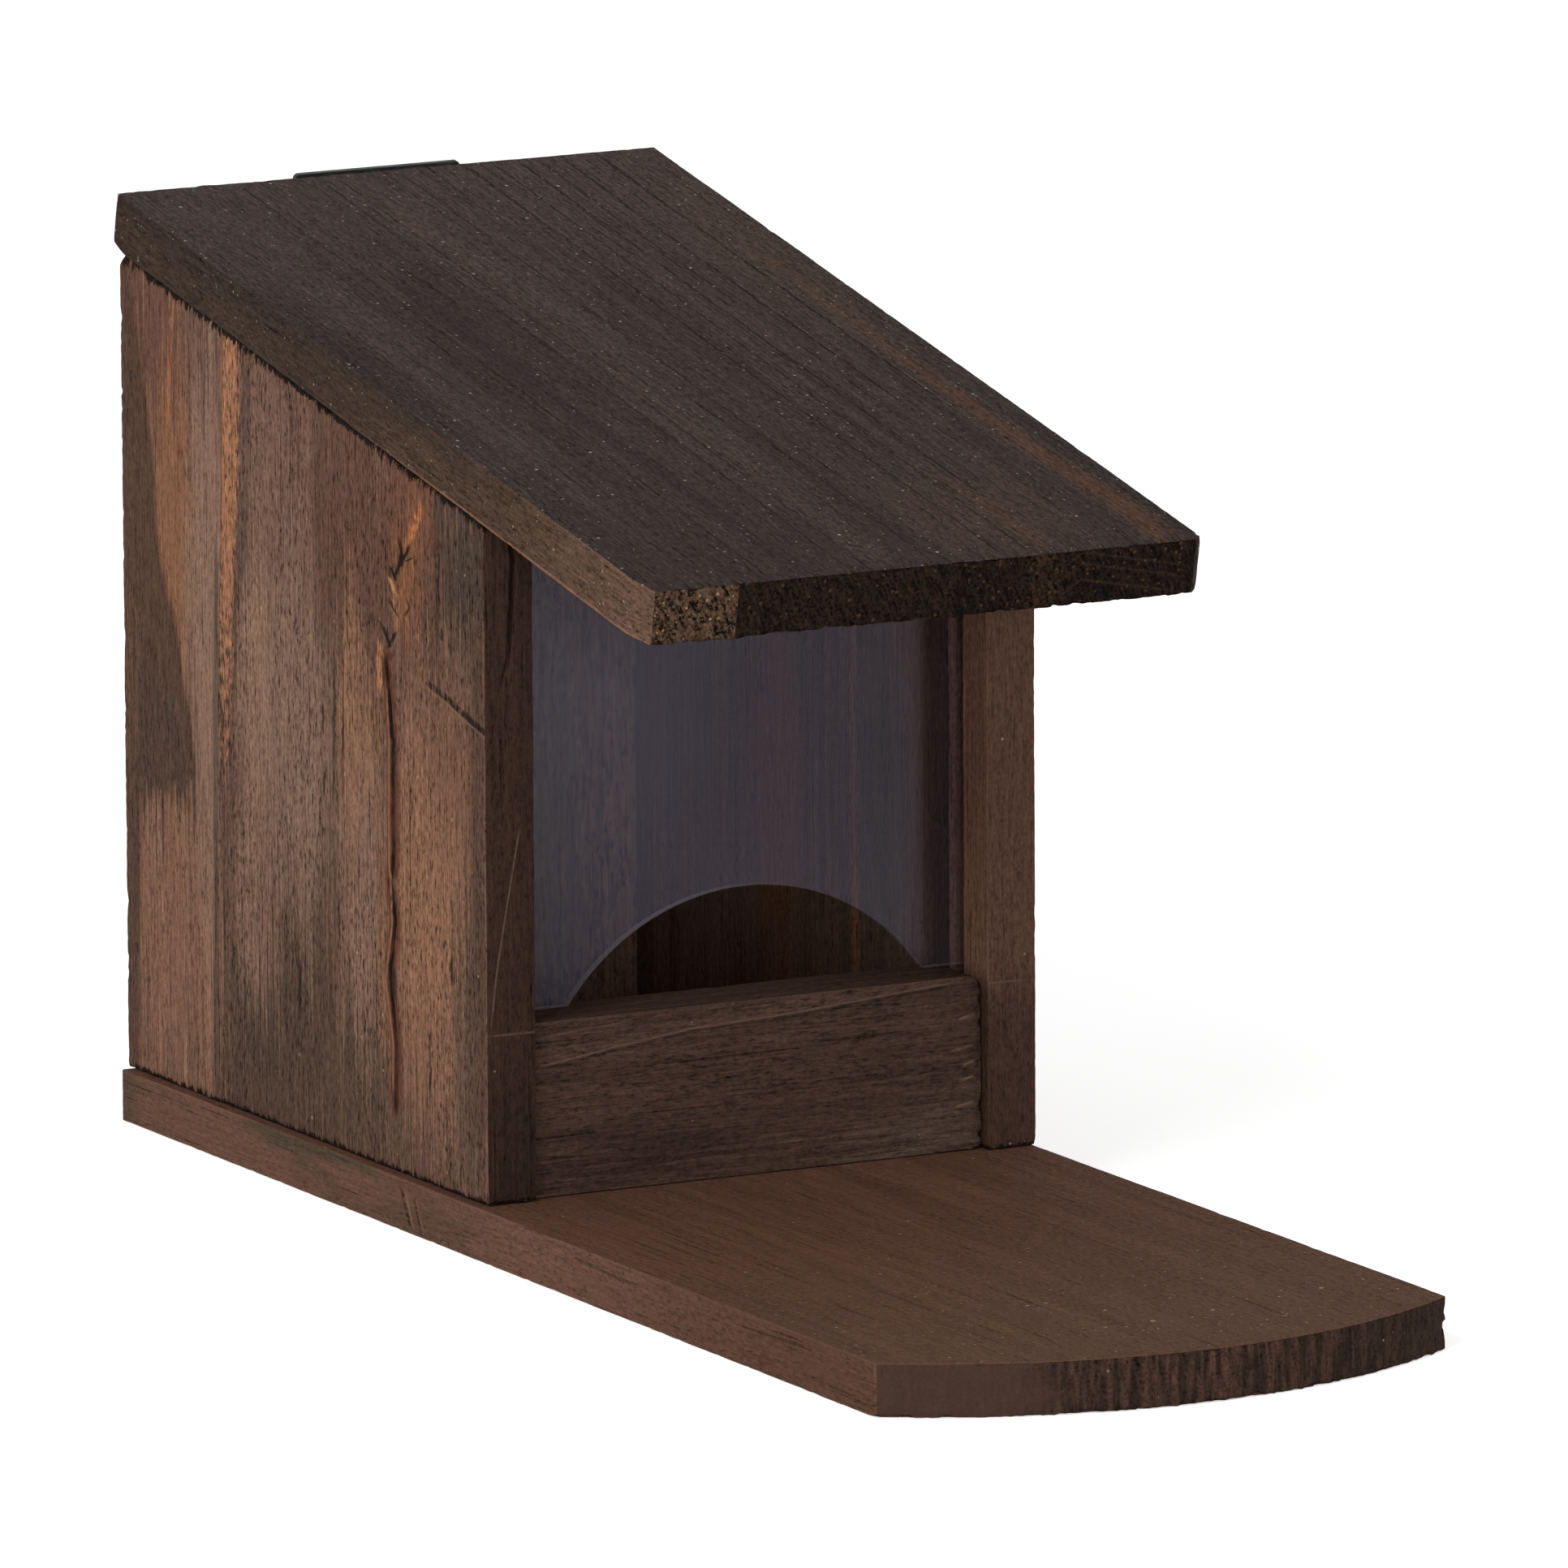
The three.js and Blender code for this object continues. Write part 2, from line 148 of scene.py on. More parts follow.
class FeederColours(bpy.types.PropertyGroup):
    """Colours of the stained boards, the pane and the metal"""

    wall: colour("Wall", "Stain on the side walls", (101, 77, 64))
    # The walls' front edges: darker stain and painted shade for the lesser light on the front
    wall_edge_stain_and_shade: colour("Wall edge", "Stain on the walls' front edges", (52, 36, 29))
    back: colour("Back", "Stain on the back panel", (88, 67, 55))
    lid: colour("Lid", "Stain on the lid", (62, 52, 49))
    base: colour("Base", "Stain on the base board", (93, 64, 51))
    rail: colour("Rail", "Stain on the front rail", (66, 49, 41))
    ochre: colour("Ochre", "Bare streaks where the stain is thin", (166, 115, 85))
    dust: colour("Dust", "Specks of dust and chipped fibre", (186, 170, 146))
    # The pane's haze: partly scuffs and dust, partly a painted reflection
    pane: colour("Pane", "Haze on the clear pane", (116, 109, 130))
    black: colour("Black paint", "Paint on the hinge", (28, 27, 28))
    zinc: colour("Zinc", "Plating on the screws and brads", (150, 148, 140))


class FeederStudio(bpy.types.PropertyGroup):
    """Camera, light and floor"""

    yaw: bpy.props.FloatProperty(
        name="Yaw", description="Camera's turn from straight ahead towards +X",
        default=math.radians(27.942), unit="ROTATION")
    pitch: bpy.props.FloatProperty(
        name="Pitch", description="Camera's tilt above the horizon",
        default=math.radians(-10.612), unit="ROTATION")
    roll: bpy.props.FloatProperty(
        name="Roll", description="Camera's turn about its own line of sight",
        default=math.radians(-0.3), unit="ROTATION")
    distance: bpy.props.FloatProperty(
        name="Distance", description="Camera to the point that it looks at",
        default=3.8483, unit="LENGTH")
    aim: bpy.props.FloatVectorProperty(
        name="Aim", description="Point that the camera looks at",
        default=(0.0072, 0.01157, 0.0851), unit="LENGTH")
    lens: bpy.props.FloatProperty(
        name="Lens", description="Focal length, in millimetres", default=465.84)
    sky: bpy.props.FloatProperty(
        name="Sky", description="Level of the even light from all sides", default=0.5)
    floor: colour("Floor", "Plain floor under the feeder", (242, 242, 242))


def ripple(points, length, seed):
    """Smooth noise from -1 to 1: random values at the corners of cubes with sides of the given
    length, each blended across its cube by 3t^2 - 2t^3."""
    size = 32
    table = np.random.default_rng(seed).uniform(-1, 1, (size, size, size))
    cell = points / length
    low = np.floor(cell).astype(int)
    part = cell - low
    part = part * part * (3 - 2 * part)
    total = np.zeros(len(points))
    for corner in itertools.product((0, 1), repeat=3):
        index = (low + corner) % size
        weight = np.prod(np.where(corner, part, 1 - part), axis=1)
        total += weight * table[index[:, X], index[:, Y], index[:, Z]]
    return total


def step(low, high, value):
    """0 below low, 1 above high, and 3t^2 - 2t^3 between."""
    part = np.clip((value - low) / (high - low), 0, 1)
    return part * part * (3 - 2 * part)


def step_line(low, high, value):
    """0 at low, 1 at high, and a straight line between."""
    return np.clip((value - low) / (high - low), 0, 1)


def lines(length, spacing, round_off, fine=()):
    """Places of a board's grid lines over a length: even steps, three lines on each worn arris
    at the tangents of 0, 15 and 30 degrees, and finer steps over each (start, end, step)."""
    inner = np.linspace(round_off, length - round_off, max(2, round(length / spacing)))
    for start, end, small in fine:
        inner = inner[(inner < start - small / 2) | (inner > end + small / 2)]
        inner = np.concatenate([inner, np.linspace(start, end, round((end - start) / small) + 1)])
    worn = round_off * (1 - np.tan(np.radians([45, 30, 15])))
    return np.unique(np.round(np.concatenate([worn, inner, length - worn]), 4))


def lattice(across, deep, along):
    """The outside of a lattice of lines: its points and its quads, which face outwards. Every
    side is a grid of two of the parameters, and shares its rim with its neighbours."""
    outside = np.zeros((len(across), len(deep), len(along)), bool)
    outside[[0, -1]] = outside[:, [0, -1]] = outside[:, :, [0, -1]] = True
    number = np.full(outside.shape, -1)
    number[outside] = np.arange(outside.sum())
    points = np.stack(np.meshgrid(across, deep, along, indexing="ij"), axis=-1)[outside]
    quads = []
    for axis, side in itertools.product(range(3), (0, -1)):
        sheet = np.take(number, side, axis=axis)
        ring = [sheet[:-1, :-1], sheet[1:, :-1], sheet[1:, 1:], sheet[:-1, 1:]]
        outward = (side == -1) == (axis != 1)
        quads.append(np.stack(ring if outward else ring[::-1], axis=-1).reshape(-1, 4))
    return points, np.concatenate(quads)


def normals(points, quads):
    """Unit normals: the cross products of the quads' diagonals, summed at each corner."""
    corner = points[quads]
    facing = np.cross(corner[:, 2] - corner[:, 0], corner[:, 3] - corner[:, 1])
    total = np.zeros_like(points)
    for place in range(4):
        np.add.at(total, quads[:, place], facing)
    return total / np.maximum(np.linalg.norm(total, axis=1, keepdims=True), 1e-12)


def groove(distance, width, depth):
    """Depth of a V-shaped groove at a distance from its line."""
    return depth * np.clip(1 - np.abs(distance) / (width / 2), 0, 1)


def hole(points, middle, plane, rows):
    """Depth of a turned hole: a profile of (radius, depth) rows around a middle, measured in
    the two axes of the plane that it is sunk in."""
    radius = np.linalg.norm(points[:, plane] - np.array(middle)[list(plane)], axis=1)
    return np.interp(radius, [row[0] for row in rows], [row[1] for row in rows])


def worn_board(name, size, shape, spacing, grain, seed, settings, fine=None, ragged=None,
               pits=None, sharp=None):
    """A board as the outside of a lattice. Each point is held to a box with rounded arrises: it
    moves to the nearest point of the inner box, plus the worn radius outward. shape turns the
    box, as shares of its size, into the board in millimetres. Wear then moves each point
    inward: a slow wave, chips near the arrises, saw marks on the end grain, and pits."""
    size = np.array(size, float)
    fine = fine or {}
    radius = settings.arris / MM
    grid = [lines(size[axis], spacing[axis], radius, fine.get(axis, ())) for axis in range(3)]
    flat, quads = lattice(*grid)
    keen = np.ones(len(flat)) if sharp is None else sharp(flat)
    worn = radius * (0.8 + 0.2 * ripple(shape(flat / size), EASE_RIPPLE, seed)) * keen
    worn = np.maximum(worn, 0.02)[:, None]
    inner = np.clip(flat, worn, size - worn)
    away = flat - inner
    reach = np.linalg.norm(away, axis=1, keepdims=True)
    points = shape((inner + away / np.maximum(reach, 1e-9) * worn) / size)
    facing = normals(points, quads)
    gaps = np.sort(np.minimum(flat, size - flat), axis=1)
    arris = np.exp(-((gaps[:, 1] / ARRIS_REACH) ** 2)) * keen
    end = step(0.6, 0.9, np.abs(facing[:, grain]))
    chip = settings.chip / MM
    strength = 0.3 if ragged is None else ragged(flat, points)
    shred = ripple(points, SHRED_RIPPLE, seed + 2)
    tear = 0.6 * shred + 0.6 * ripple(points, TEAR_RIPPLE, seed + 3)
    nick = 1 + ripple(points, NICK_RIPPLE, seed + 5)
    loss = FACE_WEAR * (1 + ripple(points, FACE_RIPPLE, seed + 1))
    loss += chip * strength * arris * (step(0.0, 0.8, tear) + 0.25 * nick)
    loss += settings.saw / MM * end * (0.5 + 0.5 * ripple(points, SAW_RIPPLE, seed + 4))
    if pits is not None:
        loss += pits(points, facing)
    chipped = np.clip(loss / chip * arris, 0, 1)
    points = points - facing * loss[:, None]
    return name, points, quads, {"facing": facing, "arris": arris, "chipped": chipped}


def build(name, points, quads, layers, body, slot, nodes, finish, turn=None):
    """Puts a surface into a mesh in metres, gives it its finish and lets it stand for nodes."""
    if turn is not None:
        points = points @ np.array(turn).T + np.array(LID_ORIGIN)
    mesh = bpy.data.meshes.new(name)
    mesh.from_pydata((points * MM).tolist(), [], quads.tolist())
    for layer, values in layers.items():
        kind, key = ("FLOAT_VECTOR", "vector") if values.ndim == 2 else ("FLOAT", "value")
        data = mesh.attributes.new(layer, kind, "POINT").data
        data.foreach_set(key, values.astype(np.float32).ravel())
    mesh.polygons.foreach_set("use_smooth", np.ones(len(quads), bool))
    mesh.update()
    piece = bpy.data.objects.new(name, mesh)
    bpy.context.scene.collection.objects.link(piece)
    piece.data.materials.append(finish)
    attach(piece, body)
    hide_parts(*nodes)
    return piece


class Term:
    """A socket of a finish, which Python's operators join to others through Math nodes."""

    def __init__(self, finish, socket):
        self.finish = finish
        self.socket = socket

    def math(self, operation, first, second=0.0):
        """A Math node on one number or two."""
        return self.finish.node("ShaderNodeMath", {"operation": operation}, {0: first, 1: second})

    def __add__(self, other):
        return self.math("ADD", self, other)

    def __sub__(self, other):
        return self.math("SUBTRACT", self, other)

    def __rsub__(self, other):
        return self.math("SUBTRACT", other, self)

    def __mul__(self, other):
        return self.math("MULTIPLY", self, other)

    def __abs__(self):
        return self.math("ABSOLUTE", self)

    __radd__ = __add__
    __rmul__ = __mul__


class Finish:
    """A material, or a world, whose nodes are made one by one and joined at the end."""

    def __init__(self, name, kind=bpy.data.materials):
        self.owner = kind.new(name)
        self.owner.use_nodes = True
        self.tree = self.owner.node_tree
        self.tree.nodes.clear()

    def node(self, kind, settings=None, inputs=None, output=0):
        """A node of a type: first its settings, then its sockets' values or links."""
        made = self.tree.nodes.new(kind)
        for key, value in (settings or {}).items():
            if key == "stops":
                self.set_stops(made.color_ramp, value)
            else:
                setattr(made, key, value)
        for key, value in (inputs or {}).items():
            if isinstance(value, Term):
                self.tree.links.new(value.socket, made.inputs[key])
            else:
                made.inputs[key].default_value = value
        return Term(self, made.outputs[output]) if made.outputs else None

    def set_stops(self, ramp, stops):
        """Sets the places and the grey levels of a ramp's stops."""
        while len(ramp.elements) < len(stops):
            ramp.elements.new(1.0)
        for element, (place, value) in zip(ramp.elements, stops):
            element.position = place
            element.color = (value, value, value, 1)

    def noise(self, vector, detail=2.0, roughness=0.55, distortion=0.0):
        """Fractal noise, about 0.5 in the middle, with features one unit apart."""
        inputs = {"Vector": vector, "Scale": 1.0, "Detail": detail, "Roughness": roughness,
                  "Distortion": distortion}
        return self.node("ShaderNodeTexNoise", None, inputs)

    def ramp(self, value, low, high, start=0.0, end=1.0):
        """A smooth change from start to end while value goes from low to high."""
        return self.node("ShaderNodeMapRange", {"interpolation_type": "SMOOTHSTEP"},
                         {0: value, 1: low, 2: high, 3: start, 4: end})

    def mix(self, factor, first, second):
        """A colour between two others."""
        first, second = (c if isinstance(c, Term) else (*c, 1) for c in (first, second))
        return self.node("ShaderNodeMix", {"data_type": "RGBA"}, {0: factor, 6: first, 7: second},
                         2)

    def shade(self, shade, level):
        """A colour made lighter or darker by a level, or a place scaled by it."""
        return self.node("ShaderNodeVectorMath", {"operation": "SCALE"}, {0: shade, 3: level})

    def parts(self, vector):
        """The three numbers of a vector."""
        made = self.node("ShaderNodeSeparateXYZ", None, {0: vector})
        return [Term(self, socket) for socket in made.socket.node.outputs]

    def millimetres(self):
        """The place on the piece, in millimetres."""
        return self.shade(self.node("ShaderNodeTexCoord", output="Object"), 1 / MM)

    def shown(self):
        """1 where the camera sees this, also in a mirror or through glass, 0 for its light."""
        rays = self.node("ShaderNodeLightPath").socket.node.outputs
        camera, glossy, through = (
            Term(self, rays[f"Is {kind} Ray"]) for kind in ("Camera", "Glossy", "Transmission"))
        return camera + glossy + through

    def layer(self, name, output):
        """An attribute of the mesh."""
        return self.node("ShaderNodeAttribute", {"attribute_name": name}, None, output)

    def close(self, shader, height=None, **varying):
        """Makes the shader's node, the bump from a height in millimetres, and the output."""
        inputs = dict(shader)
        inputs.update(varying)
        if height is not None:
            inputs["Normal"] = self.node(
                "ShaderNodeBump", None, {"Strength": 1.0, "Distance": MM, "Height": height})
        surface = self.node("ShaderNodeBsdfPrincipled", None, inputs)
        self.node("ShaderNodeOutputMaterial", None, {0: surface})
        return self.owner


class Wood(Finish):
    """Stained softwood. Places are in millimetres in the board's own frame, and axes gives which
    of its X, Y and Z lie across the grain, through the board and along the grain."""

    def __init__(self, name, axes, seed, tint, on_lid=False):
        super().__init__(name)
        self.axes = axes
        self.seed = seed
        self.tint = tint
        place = {"Vector": self.node("ShaderNodeTexCoord", output="Object"),
                 "Scale": (1 / MM, 1 / MM, 1 / MM)}
        if on_lid:
            place["Location"] = -(LID_TURN.inverted() @ LID_ORIGIN)
            place["Rotation"] = (-LID_PITCH, 0, 0)
        self.place = self.node("ShaderNodeMapping", {"vector_type": "POINT"}, place)
        coordinates = self.parts(self.place)
        self.across, self.deep, self.along = (coordinates[axis] for axis in axes)
        self.facing = self.parts(self.layer("facing", "Vector"))
        self.arris = self.layer("arris", "Fac")
        self.chipped = self.layer("chipped", "Fac")
        self.end = self.ramp(abs(self.facing[axes[2]]), 0.6, 0.85)
        self.face = 1 - self.end
        self.slow = self.noise(self.stretched(0.09, 0.014, shift=1), 2.0)
        self.strand = self.noise(self.stretched(1.1, 0.012, shift=2), 3.0, 0.65)
        self.fibre = self.noise(self.stretched(2.2, 0.09, shift=3), 3.0, 0.65)
        self.dash = self.noise(self.stretched(1.6, 0.5, shift=4), 2.0, 0.6)
        self.sway, self.stray, self.jitter = (
            noise - 0.5 for noise in (self.slow, self.strand, self.dash))

    def stretched(self, across, along, deep=None, shift=0):
        """The place scaled to so many features per millimetre along each axis."""
        scale = [0.0] * 3
        for axis, share in zip(self.axes, (across, deep or across, along)):
            scale[axis] = share
        offset = [self.seed * 7.3 + shift * 3.1, self.seed * 3.7 + shift, shift * 5.9]
        return self.node("ShaderNodeVectorMath", {"operation": "MULTIPLY_ADD"},
                         {0: self.place, 1: scale, 2: offset})

    def stain(self, base, dark, light, bands=0.2):
        """The stain's own colour: bands that wander along the grain, under clouds."""
        band = self.noise(self.stretched(bands, 0.005), 4.0, 0.65, 0.3)
        ring = self.noise(self.stretched(0.8, 0.008, shift=5), 2.0)
        tone = self.mix(self.ramp(band + (ring - 0.5) * 0.5, 0.38, 0.62), dark, light)
        self.tone = self.mix(self.ramp(self.slow, 0.38, 0.62, 0.0, 0.6), tone, base)

    def only(self, axis, sign):
        """1 on the side of the board that faces along an axis, and 0 elsewhere."""
        return self.ramp(self.facing[axis] * sign, 0.55, 0.8)

    def paint(self, where, tone):
        """Lays a colour over what is there."""
        self.tone = self.mix(where, self.tone, tone)

    def rgb(self, tone):
        """A fixed colour as a vector that can be scaled."""
        return self.node("ShaderNodeCombineXYZ", None, dict(enumerate(tone)))

    def table(self, run, pairs):
        """A value that changes along a run, straight between pairs of (place, value)."""
        pairs = sorted(pairs)
        start, length = pairs[0][0], pairs[-1][0] - pairs[0][0]
        least = min(value for place, value in pairs)
        span = max(value for place, value in pairs) - least or 1.0
        stops = [((place - start) / length, (value - least) / span) for place, value in pairs]
        return self.node("ShaderNodeValToRGB", {"stops": stops},
                         {0: (run - start) * (1 / length)}) * span + least

    def line(self, path, fray=0.0, run=None, cross=None):
        """The signed distance from a path of (run, cross) places, along and across the grain
        unless others are given, and a mask that fades at its two ends. fray slides each strand
        of fibres along the run."""
        run = run or self.along
        middle = self.table(run + self.stray * fray, path)
        low, high = min(path)[0], max(path)[0]
        fade = min(4.0, (high - low) / 4)
        run = run + self.stray * (fray + min(12, (high - low) * 0.3))
        within = self.ramp(run, low, low + fade) * self.ramp(run, high, high - fade)
        return (cross or self.across) - middle, within

    def patch(self, middle, reach, tone, amount=0.8, side=1.0):
        """A cloudy patch: an ellipse about a place (across, along), which wanders sideways and
        frays along the grain."""
        across = self.across + self.sway * 14 + self.stray * 7
        along = self.along + self.stray * 110 + self.sway * 25
        far = ((across - middle[0]) * (1 / reach[0]), (along - middle[1]) * (1 / reach[1]))
        distance = far[0] * far[0] + far[1] * far[1]
        self.paint(self.ramp(distance, 0.1, 1.9, amount, 0.0) * side, tone)

    def patches(self, rows, side=1.0):
        """Cloudy patches: rows of (middle, reach, colour on a screen, amount)."""
        for middle, reach, tone, amount in rows:
            self.patch(middle, reach, seen(*tone), amount, side)

    def streak(self, path, width, tone, amount=0.8, soft=1.0, fray=20.0, side=1.0):
        """A streak along a path, with sides that fray into strands. Its width is a number, or
        pairs of (along, width)."""
        distance, within = self.line(path, fray)
        if not isinstance(width, (int, float)):
            width = self.table(self.along, width)
        rim = abs(distance) - width * 0.5 + self.stray * soft * 4
        rim = rim + self.jitter * soft * 3
        self.paint(self.ramp(rim, soft, -soft) * within * amount * side, tone)

    def streaks(self, *rows):
        """Streaks: rows of (path, width, colour on a screen), then amount, soft and fray."""
        for path, width, tone, *manner in rows:
            self.streak(path, width, seen(*tone), *manner)

    def beyond(self, path, tone, amount, soft, fray=90.0):
        """A colour over all that lies across the grain beyond a path."""
        rim = self.line(path, fray)[0] + self.stray * soft * 4 + self.sway * soft * 4
        self.paint(self.ramp(rim, -soft, soft) * amount, tone)

    def detail(self, level=1.0, pores=1.0):
        """Fibres, with dark pores and light flecks a few tenths of a millimetre wide."""
        grit = self.noise(self.stretched(2.6, 1.3, shift=6), 1.0)
        dense = self.noise(self.stretched(0.07, 0.018, shift=7), 1.0)
        dense = self.ramp(dense, 0.35, 0.62, 0.5, 1.25) * pores * self.face
        pore = self.ramp(self.dash, 0.56, 0.68) * dense
        fleck = self.ramp(self.dash, 0.43, 0.31) * dense
        change = (self.fibre - 0.5) * 1.6 + (grit - 0.5) * 1.2 - self.jitter * 0.9
        hair = self.noise(self.stretched(1.3, 0.03, shift=12), 1.0)
        hair = self.ramp(hair + self.jitter * 0.1, 0.67, 0.74) * self.face
        change = change * level + 1 - pore * 0.42 + fleck * 0.2 - hair * 0.35
        self.tone = self.shade(self.tone, change)
        self.height = self.fibre * 0.16 + grit * 0.07 - pore * 0.14 - hair * 0.15

    def crack(self, path, width, amount=1.0, depth=0.3, side=1.0, margin=None):
        """A dark crack along a path, which opens and closes by noise, in a margin of its own."""
        distance, within = self.line(path)
        distance = distance + (self.noise(self.stretched(0.02, 0.5, shift=8), 4.0) - 0.5) * 1.6
        gape = 1.0
        if max(path)[0] - min(path)[0] > 15:
            opening = self.noise(self.stretched(0.02, 0.16, shift=9))
            gape = self.ramp(opening, 0.36, 0.56, 0.6, 1.0)
        if margin is not None:
            beside = self.ramp(abs(distance), width * 2.6, width * 0.6) * within * side
            self.tone = self.mix(beside * 0.75, self.tone, margin)
        inside = self.ramp(abs(distance), width * 0.8, width * 0.3) * within * gape * side
        self.tone = self.mix(inside * amount, self.tone, CRACKED)
        self.height = self.height - inside * depth

    def cracks(self, side, *rows):
        """Short cracks: rows of (path, width, amount)."""
        for path, width, amount in rows:
            self.crack(path, width, amount, 0.3, side)

    def scratch(self, path, width, tone, amount, run=None, cross=None, side=1.0):
        """A fine line of another tone along a path in any direction."""
        distance, within = self.line(path, 0.0, run, cross)
        broken = self.ramp(self.dash, 0.36, 0.52, 0.35, 1.0)
        inside = self.ramp(abs(distance), width * 0.9, width * 0.3) * within * broken * side
        self.tone = self.mix(inside * amount, self.tone, tone)

    def specks(self, spacing, size, share, amount=0.85, side=1.0, shift=0, tone=None):
        """Specks in some of the cells of a grid, at their scattered middles, from half to one
        and a half times as large as the size."""
        spread = self.stretched(1 / spacing, 1 / spacing, shift=10 + shift)
        cells = self.node("ShaderNodeTexVoronoi", None, {"Vector": spread, "Scale": 1.0})
        nodes = cells.socket.node.outputs
        chance, grade, other = self.parts(Term(self, nodes["Color"]))
        radius = (grade * grade + 0.4) * (size / spacing)
        near = self.ramp(Term(self, nodes["Distance"]) - radius, 0.04, -0.04)
        speck = near * self.ramp(chance, share + 0.01, share - 0.01) * side
        self.tone = self.mix(speck * (other * 0.6 + 0.4) * amount, self.tone, tone or self.tint.dust)
        self.height = self.height + speck * 0.1

    def torn_fringe_and_shade(self, top, reach, amount=0.95, side=1.0):
        """Black, torn ends of fibres and painted shade under an edge: top is how far a place lies
        below it.
        """
        ragged = self.noise(self.stretched(0.85, 0.04, shift=15), 4.0, 0.75)
        tuft = self.ramp(self.noise(self.stretched(0.06, 0.01, shift=18)), 0.4, 0.6, 3.0, 9.0)
        sliver = self.ramp(self.strand + self.jitter * 0.4, 0.6, 0.7)
        sliver = sliver * self.ramp(top, 4 * reach, reach) * side
        self.tone = self.mix(sliver * 0.55, self.tone, seen(152, 112, 84))
        # Black of torn fibres, and painted shade of the gap under the lid and over the base
        torn = self.ramp(top - ((ragged - 0.5) * tuft + 1.0) * reach, 0.15, -0.15) * side
        self.tone = self.mix(torn * amount, self.tone, TORN_AND_SHADED)

    def end_grain(self, tone, pit_level=0.5, slant=0.0):
        """The rough end grain: pitted, with tears that lean over to one side."""
        across, deep = self.axes[0], self.axes[1]
        turn = [0.0, 0.0, 0.0]
        turn[self.axes[2]] = slant
        leaning = self.node("ShaderNodeMapping", {"vector_type": "POINT"},
                            {"Vector": self.place, "Rotation": turn})
        scale = [1.1] * 3
        scale[deep] = 0.28
        scale[across] = 1.2
        tear = self.noise(self.node("ShaderNodeVectorMath", {"operation": "MULTIPLY"},
                                    {0: leaning, 1: scale}), 3.0, 0.65)
        pit = self.noise(self.stretched(1.5, 1.5, shift=16), 2.0, 0.7)
        hollow = self.ramp(pit, 0.42, 0.3) * pit_level
        level = (tear - 0.5) * 2.6 * pit_level + (pit - 0.5) * 2.2 * pit_level + 1 - hollow * 0.4
        tone = tone if isinstance(tone, Term) else self.rgb(tone)
        self.tone = self.mix(self.end, self.tone, self.shade(tone, level))
        self.height = self.height * self.face + self.end * (tear * 0.5 + pit * 0.5) * pit_level

    def finish(self, roughness=0.75):
        """Wear at the arrises, chips darkened partly by painted shade in their hollows, then the
        shader.
        """
        worn = self.ramp(self.arris + self.jitter * 1.4, 0.72, 1.1)
        self.tone = self.mix(worn * 0.3, self.tone, self.shade(self.tone, 1.7))
        # Chips are darkened: partly torn dark wood, partly painted shade in their hollows
        dark = self.ramp(self.chipped + self.jitter * 1.2, 0.35, 0.95, 0.0, 0.8)
        self.tone = self.mix(dark, self.tone, self.shade(self.tone, 0.3))
        rough = self.ramp(self.dash, 0.3, 0.7, roughness - 0.1, roughness + 0.1)
        return self.close({"IOR": 1.45, "Specular IOR Level": 0.07}, self.height,
                          **{"Base Color": self.tone, "Roughness": rough})


class PieceOperator:
    """What the operators share: the sizes of the wear, and the colours."""

    def shape(self, context):
        """The sizes of the wear."""
        return context.scene.feeder_shape

    def tint(self, context):
        """The colours."""
        return context.scene.feeder_colours


